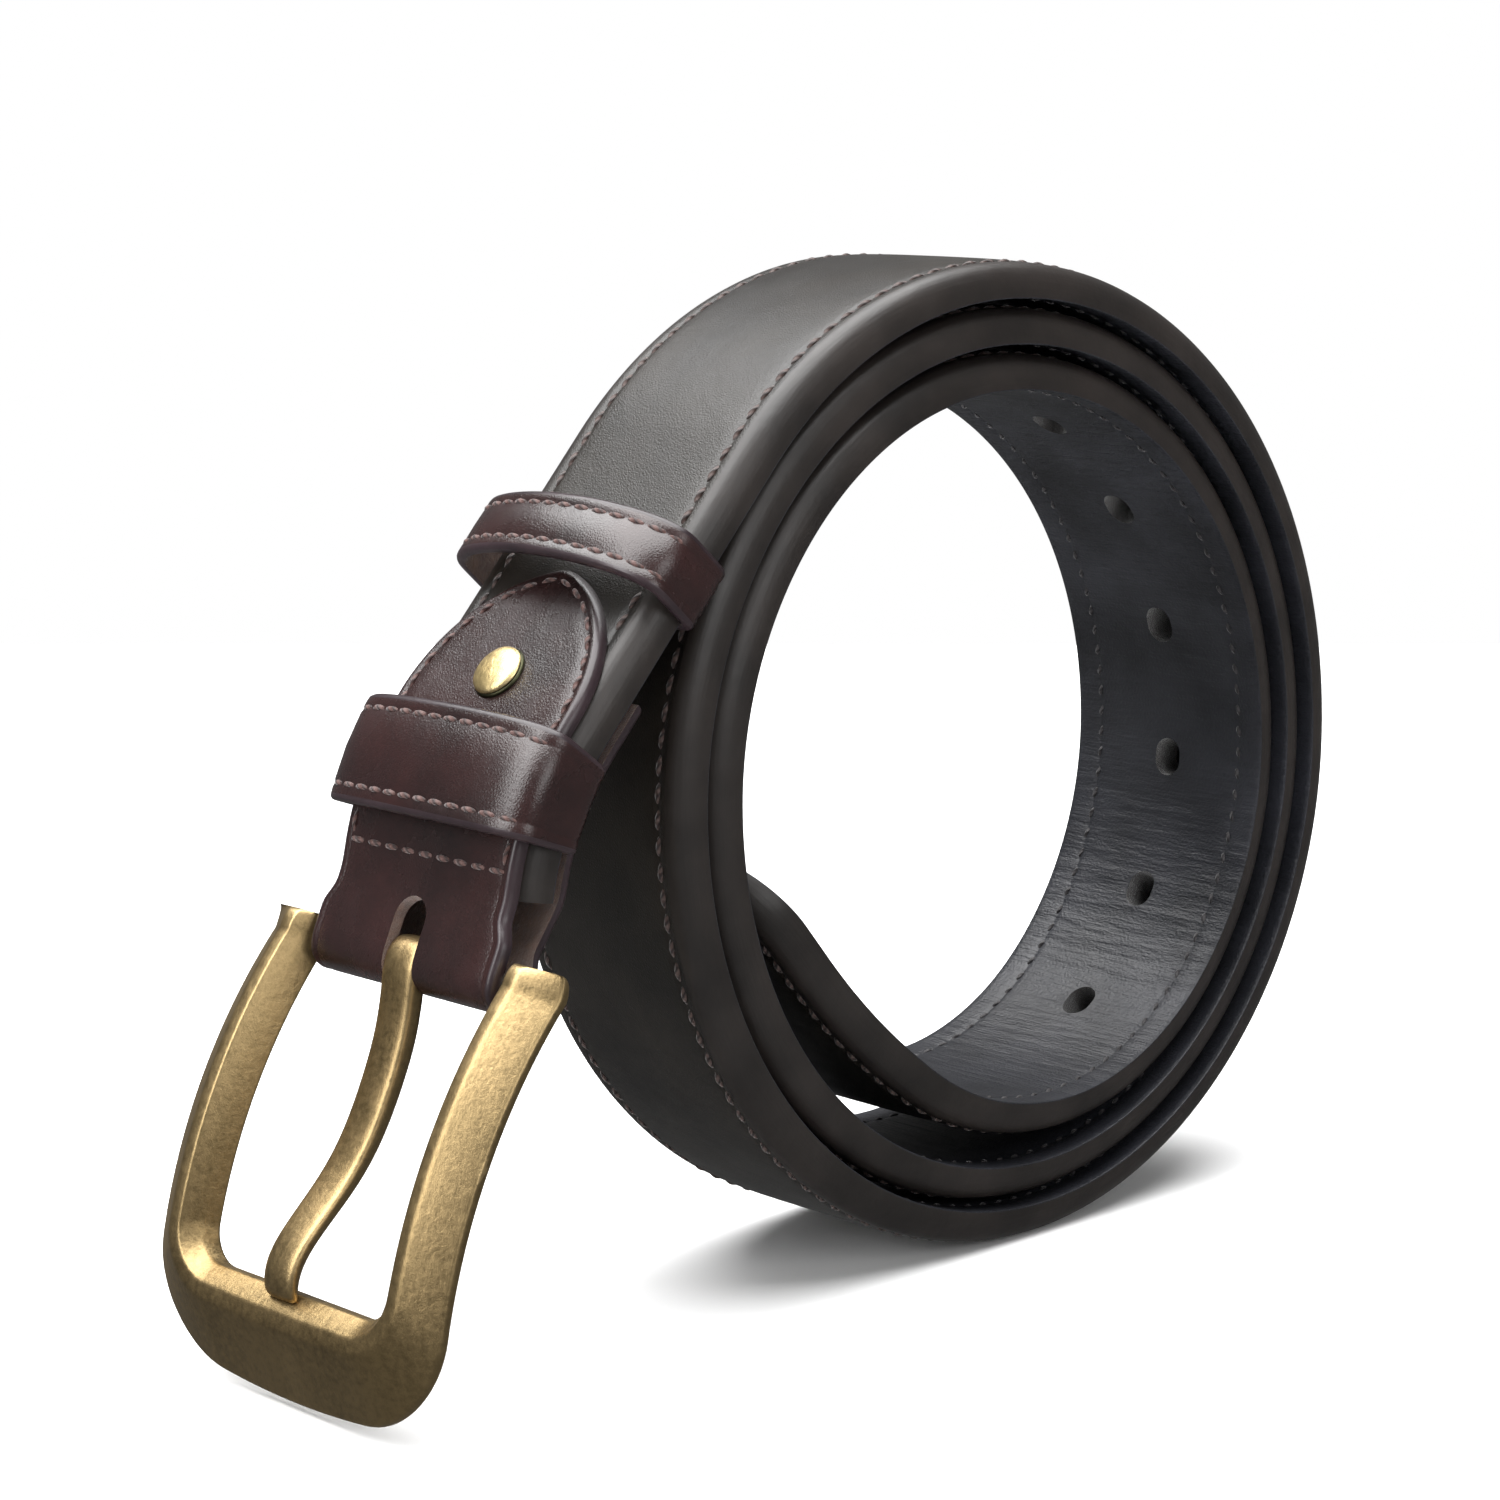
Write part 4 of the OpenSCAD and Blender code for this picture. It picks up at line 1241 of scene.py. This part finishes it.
def build_frame():
    paths = [rail_path(*corner[:4]) for corner in FRAME_CORNERS]
    last = len(paths[0]) - 1
    ends = 10
    first = frame_ring(paths, 0, 1)
    rings = [leg_end(first, k / ends) for k in range(ends, 0, -1)]
    rings += [frame_ring(paths, k, 1) for k in range(last + 1)]
    rings += [frame_ring(paths, k, -1) for k in range(last - 1, -1, -1)]
    other = frame_ring(paths, 0, -1)
    rings += [leg_end(other, k / ends) for k in range(1, ends + 1)]
    placed = [[on_buckle(*point) for point in ring] for ring in rings]
    down = [k * MM for k in range(len(placed))]
    mesh = ring_mesh("frame", placed, cross_lengths(placed[20]), down, [0] * len(placed[0]))
    piece = finish_mesh("buckle_frame_piece", mesh, [BRASS], 60)
    place_piece(piece, "buckle", "antique_brass", "buckle_frame")


def build_prong():
    # Distance along the prong and height above the bar, from its hook over the bar to its tip.
    front = [(-3.9, 1.0), (-2.9, 3.0), (-0.6, 3.9), (2, 3.6), (5, 2.6), (10, 1.5), (15, 1.2), (20, 1.2),
             (24, 1.5), (28, 2.2), (32, 3.5), (36, 5.2), (39.5, 6.6), (42.5, 7.3), (45, 7.1), (47.2, 6.1),
             (47.8, 5.0)]
    crown = 0.105
    rings = []
    total = len(front)
    for k, (u, v) in enumerate(front):
        t = k / (total - 1)
        depth = 4.4 - 2.0 * t
        half = 3.5 - 0.4 * t
        if k == total - 1:
            half *= 0.85
            depth = 1.2
        ring = [(u, -half, v - 0.5), (u, -half * 0.72, v - 0.05), (u, 0, v + crown),
                (u, half * 0.72, v - 0.05), (u, half, v - 0.5), (u, half, v - depth * 0.6),
                (u, half * 0.7, v - depth), (u, -half * 0.7, v - depth), (u, -half, v - depth * 0.6)]
        rings.append([on_buckle(*point) for point in ring])
    down = [k * MM for k in range(total)]
    shank = ring_mesh("prong", rings, cross_lengths(rings[3]), down, [0] * len(rings[0]))
    piece = finish_mesh("prong_piece", shank, [BRASS], 180)
    smooth = piece.modifiers.new("smooth", "SUBSURF")
    smooth.levels = 2
    smooth.render_levels = 2
    place_piece(piece, "prong", "antique_brass", "prong")
    eye = []
    inner, outer = BAR_RADIUS + 0.08, BAR_RADIUS + 1.9
    section = [(inner, -2.3), (inner + 0.2, -2.45), (outer - 0.5, -2.45), (outer, -1.9), (outer + 0.1, 0),
               (outer, 1.9), (outer - 0.5, 2.45), (inner + 0.2, 2.45), (inner, 2.3)]
    for k in range(40):
        angle = 2 * math.pi * k / 40
        eye.append([on_buckle(r * math.cos(angle), across, r * math.sin(angle)) for r, across in section])
    mesh = ring_mesh("eye", eye, cross_lengths(eye[0]), [k * 0.5 * MM for k in range(41)], [0] * len(section),
                     caps=False, closed_path=True)
    ring = finish_mesh("prong_eye_piece", mesh, [BRASS], 50)
    place_piece(ring, "prong", "antique_brass")


def finish_cad(node, material):
    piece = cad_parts[node]
    piece.data.materials.clear()
    piece.data.materials.append(material)


add_camera()
add_studio()
add_floor(floor_finish())
add_backdrop()
build_strap()
build_strap_stitches()
build_tab()
build_tab_stitches()
build_keepers()
build_rivet()
build_frame()
build_prong()
for steel_node in ("buckle_bar", "rivet_post", "rivet_back", "fixed_keeper_staple", "sliding_keeper_staple"):
    finish_cad(steel_node, STEEL)
